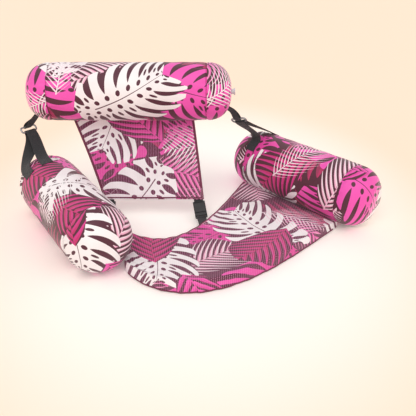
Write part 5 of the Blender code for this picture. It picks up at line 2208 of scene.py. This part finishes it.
@dataclass
class Studio:
    """A pale floor with a painted pool of light and a painted glow, soft light and the camera."""

    camera_at: Vector = field(default_factory=lambda: Vector((0.0301, -1.7195, 0.984)))
    camera_down: float = math.radians(28.36)
    focal_pixels: float = 600.0
    sensor: float = 36.0
    painted_light_pool_reach: tuple[float, float] = (0.62, 0.85)
    floor_reach: float = 14.0
    painted_floor_glow: float = 0.14
    lamp_distance: float = 3.0

    def floor(self) -> None:
        """Lay a wide floor, painted whiter towards the middle as a painted pool of light, with a faint
        painted glow.
        """
        mesh = bpy.data.meshes.new("studio_floor")
        reach = self.floor_reach
        corners = [(x * reach, y * reach, 0.0) for x, y in ((-1, -1), (1, -1), (1, 1), (-1, 1))]
        mesh.from_pydata(corners, [], [(0, 1, 2, 3)])
        material, sketch, shader = Finishes.start("plain_pale_floor", 0.9)
        place = sketch.new("ShaderNodeTexCoord").outputs["Object"]
        x, y, _ = sketch.split(place)
        # Painted pool of light: the floor is near white in the middle and cream further out.
        near = (x * (1.0 / self.painted_light_pool_reach[0])) ** 2.0 + ((y - 0.1) * (1.0 / self.painted_light_pool_reach[1])) ** 2.0
        soft = sketch.noise(place, 0.8, 1.0) * 0.1
        away = sketch.ramp(near + soft, 0.0, 2.2)
        colour = sketch.mix(away, shade(255, 251, 246), shade(250, 220, 198))
        glow = sketch.mix(away, shade(255, 252, 248), shade(254, 232, 212))
        sketch.fill(shader, {"Base Color": colour, "Specular IOR Level": 0.1})
        # Painted glow: the floor emits a faint light of its own, which lifts its shade.
        sketch.fill(shader, {"Emission Color": glow, "Emission Strength": self.painted_floor_glow})
        link_mesh("studio_floor", mesh, material)

    def light(self, name: str, way: Vector, strength: float, softness: float, tint: Colour) -> None:
        """Shine a broad even light one way.

        Args:
            name: the light's name.
            way: the direction that it shines in.
            strength: in watts per square metre.
            softness: how wide it looks, in degrees.
            tint: its colour.
        """
        data = bpy.data.lights.new(name, "SUN")
        data.energy = strength
        data.angle = math.radians(softness)
        data.color = tint[:3]
        lamp = bpy.data.objects.new(name, data)
        lamp.location = -way * self.lamp_distance
        lamp.rotation_euler = way.to_track_quat("-Z", "Y").to_euler()
        bpy.context.scene.collection.objects.link(lamp)

    def make(self) -> None:
        """Set up the studio."""
        self.floor()
        scene = bpy.context.scene
        world = bpy.data.worlds.new("soft_studio")
        world.use_nodes = True
        sketch = Sketch(world.node_tree)
        background = world.node_tree.nodes["Background"]
        sketch.fill(background, {"Color": shade(255, 251, 249), "Strength": 0.78})
        seen = sketch.made("ShaderNodeBackground", {"Color": shade(255, 234, 212)})
        camera_ray = sketch.new("ShaderNodeLightPath").outputs["Is Camera Ray"]
        either = sketch.made("ShaderNodeMixShader", {0: camera_ray, 1: background.outputs[0], 2: seen})
        sketch.fill(world.node_tree.nodes["World Output"], {"Surface": either})
        scene.world = world
        self.light("key_light", Vector((0.16, 0.60, -1.0)), 0.82, 45.0, shade(255, 252, 248))
        self.light("fill_light", Vector((-0.9, 0.5, -0.8)), 0.25, 70.0, shade(255, 250, 246))
        scene.view_settings.view_transform = "Standard"
        data = bpy.data.cameras.new("photo_camera")
        data.sensor_width = self.sensor
        data.lens = self.focal_pixels / IMAGE_SIDE * self.sensor
        camera = bpy.data.objects.new("photo_camera", data)
        camera.location = self.camera_at
        camera.rotation_euler = (math.pi / 2.0 - self.camera_down, 0.0, 0.0)
        scene.collection.objects.link(camera)
        scene.camera = camera


def main() -> None:
    """Build and dress the chair."""
    logging.basicConfig(level=logging.INFO, format="%(message)s")
    Studio().make()
    finishes, stitcher = Finishes(), Stitcher()
    arm_sizes, arm_height = (ARM_RADIUS, ARM_LENGTH, ARM_CAP_DEPTH), ARM_RADIUS * math.cos(math.pi / FACETS)
    left = Bolster(
        "left_arm", "seat", *arm_sizes, Vector((-0.3889, -0.0895, arm_height)), math.radians(-58.2),
        math.radians(-60.0), (0.55, 1.20), (0.70, -0.36),
    )
    right = Bolster(
        "right_arm", "seat", *arm_sizes, Vector((0.3591, 0.1535, arm_height)), math.radians(-46.3),
        math.radians(-120.0), (1.18, 0.12), (1.52, -0.18),
    )
    back = Bolster(
        "back", "back", 0.092, 0.660, 0.080, Vector((-0.2239, 0.1705, 0.393)), math.pi,
        math.radians(-102.0), (-0.62, 0.66), (0.30, 0.62),
    )
    for bolster in (left, right, back):
        bolster.make(finishes, stitcher)
        dress(bolster.name + "_valve_stem", finishes.vinyl)
        dress(bolster.name + "_valve_cap", finishes.vinyl)
    sling = Sling(left, right)
    sling.make(finishes, stitcher)
    panel = BackPanel(back)
    panel.make(finishes, stitcher)
    SideLink(
        "left_side", left, sling.left_inward, back, Vector((-0.342, -0.010, -0.125)),
        Vector((0.68, 0.73, 0.00)), Vector((0.35, -0.60, -0.72)), (0.025, math.radians(-90.0)),
        ((0.475, math.radians(98.0)), (0.480, math.radians(136.0))),
        ((0.435, math.radians(98.0)), (0.440, math.radians(136.0))),
    ).make(finishes, stitcher)
    SideLink(
        "right_side", right, sling.right_inward, back, Vector((0.359, 0.040, -0.112)),
        Vector((0.80, -0.53, 0.28)), Vector((0.59, 0.41, -0.69)), (0.645, math.radians(-72.0)),
        ((0.462, math.radians(62.0)), (0.462, math.radians(112.0))),
        ((0.462, math.radians(38.0)), (0.462, math.radians(134.0))),
    ).make(finishes, stitcher)
    for side, on_panel, on_seat in zip(("left", "right"), panel.strap_shares, sling.strap_shares):
        LowerBuckle(side, panel, sling, on_panel, on_seat).make(finishes)


if __name__ == "__main__":
    main()
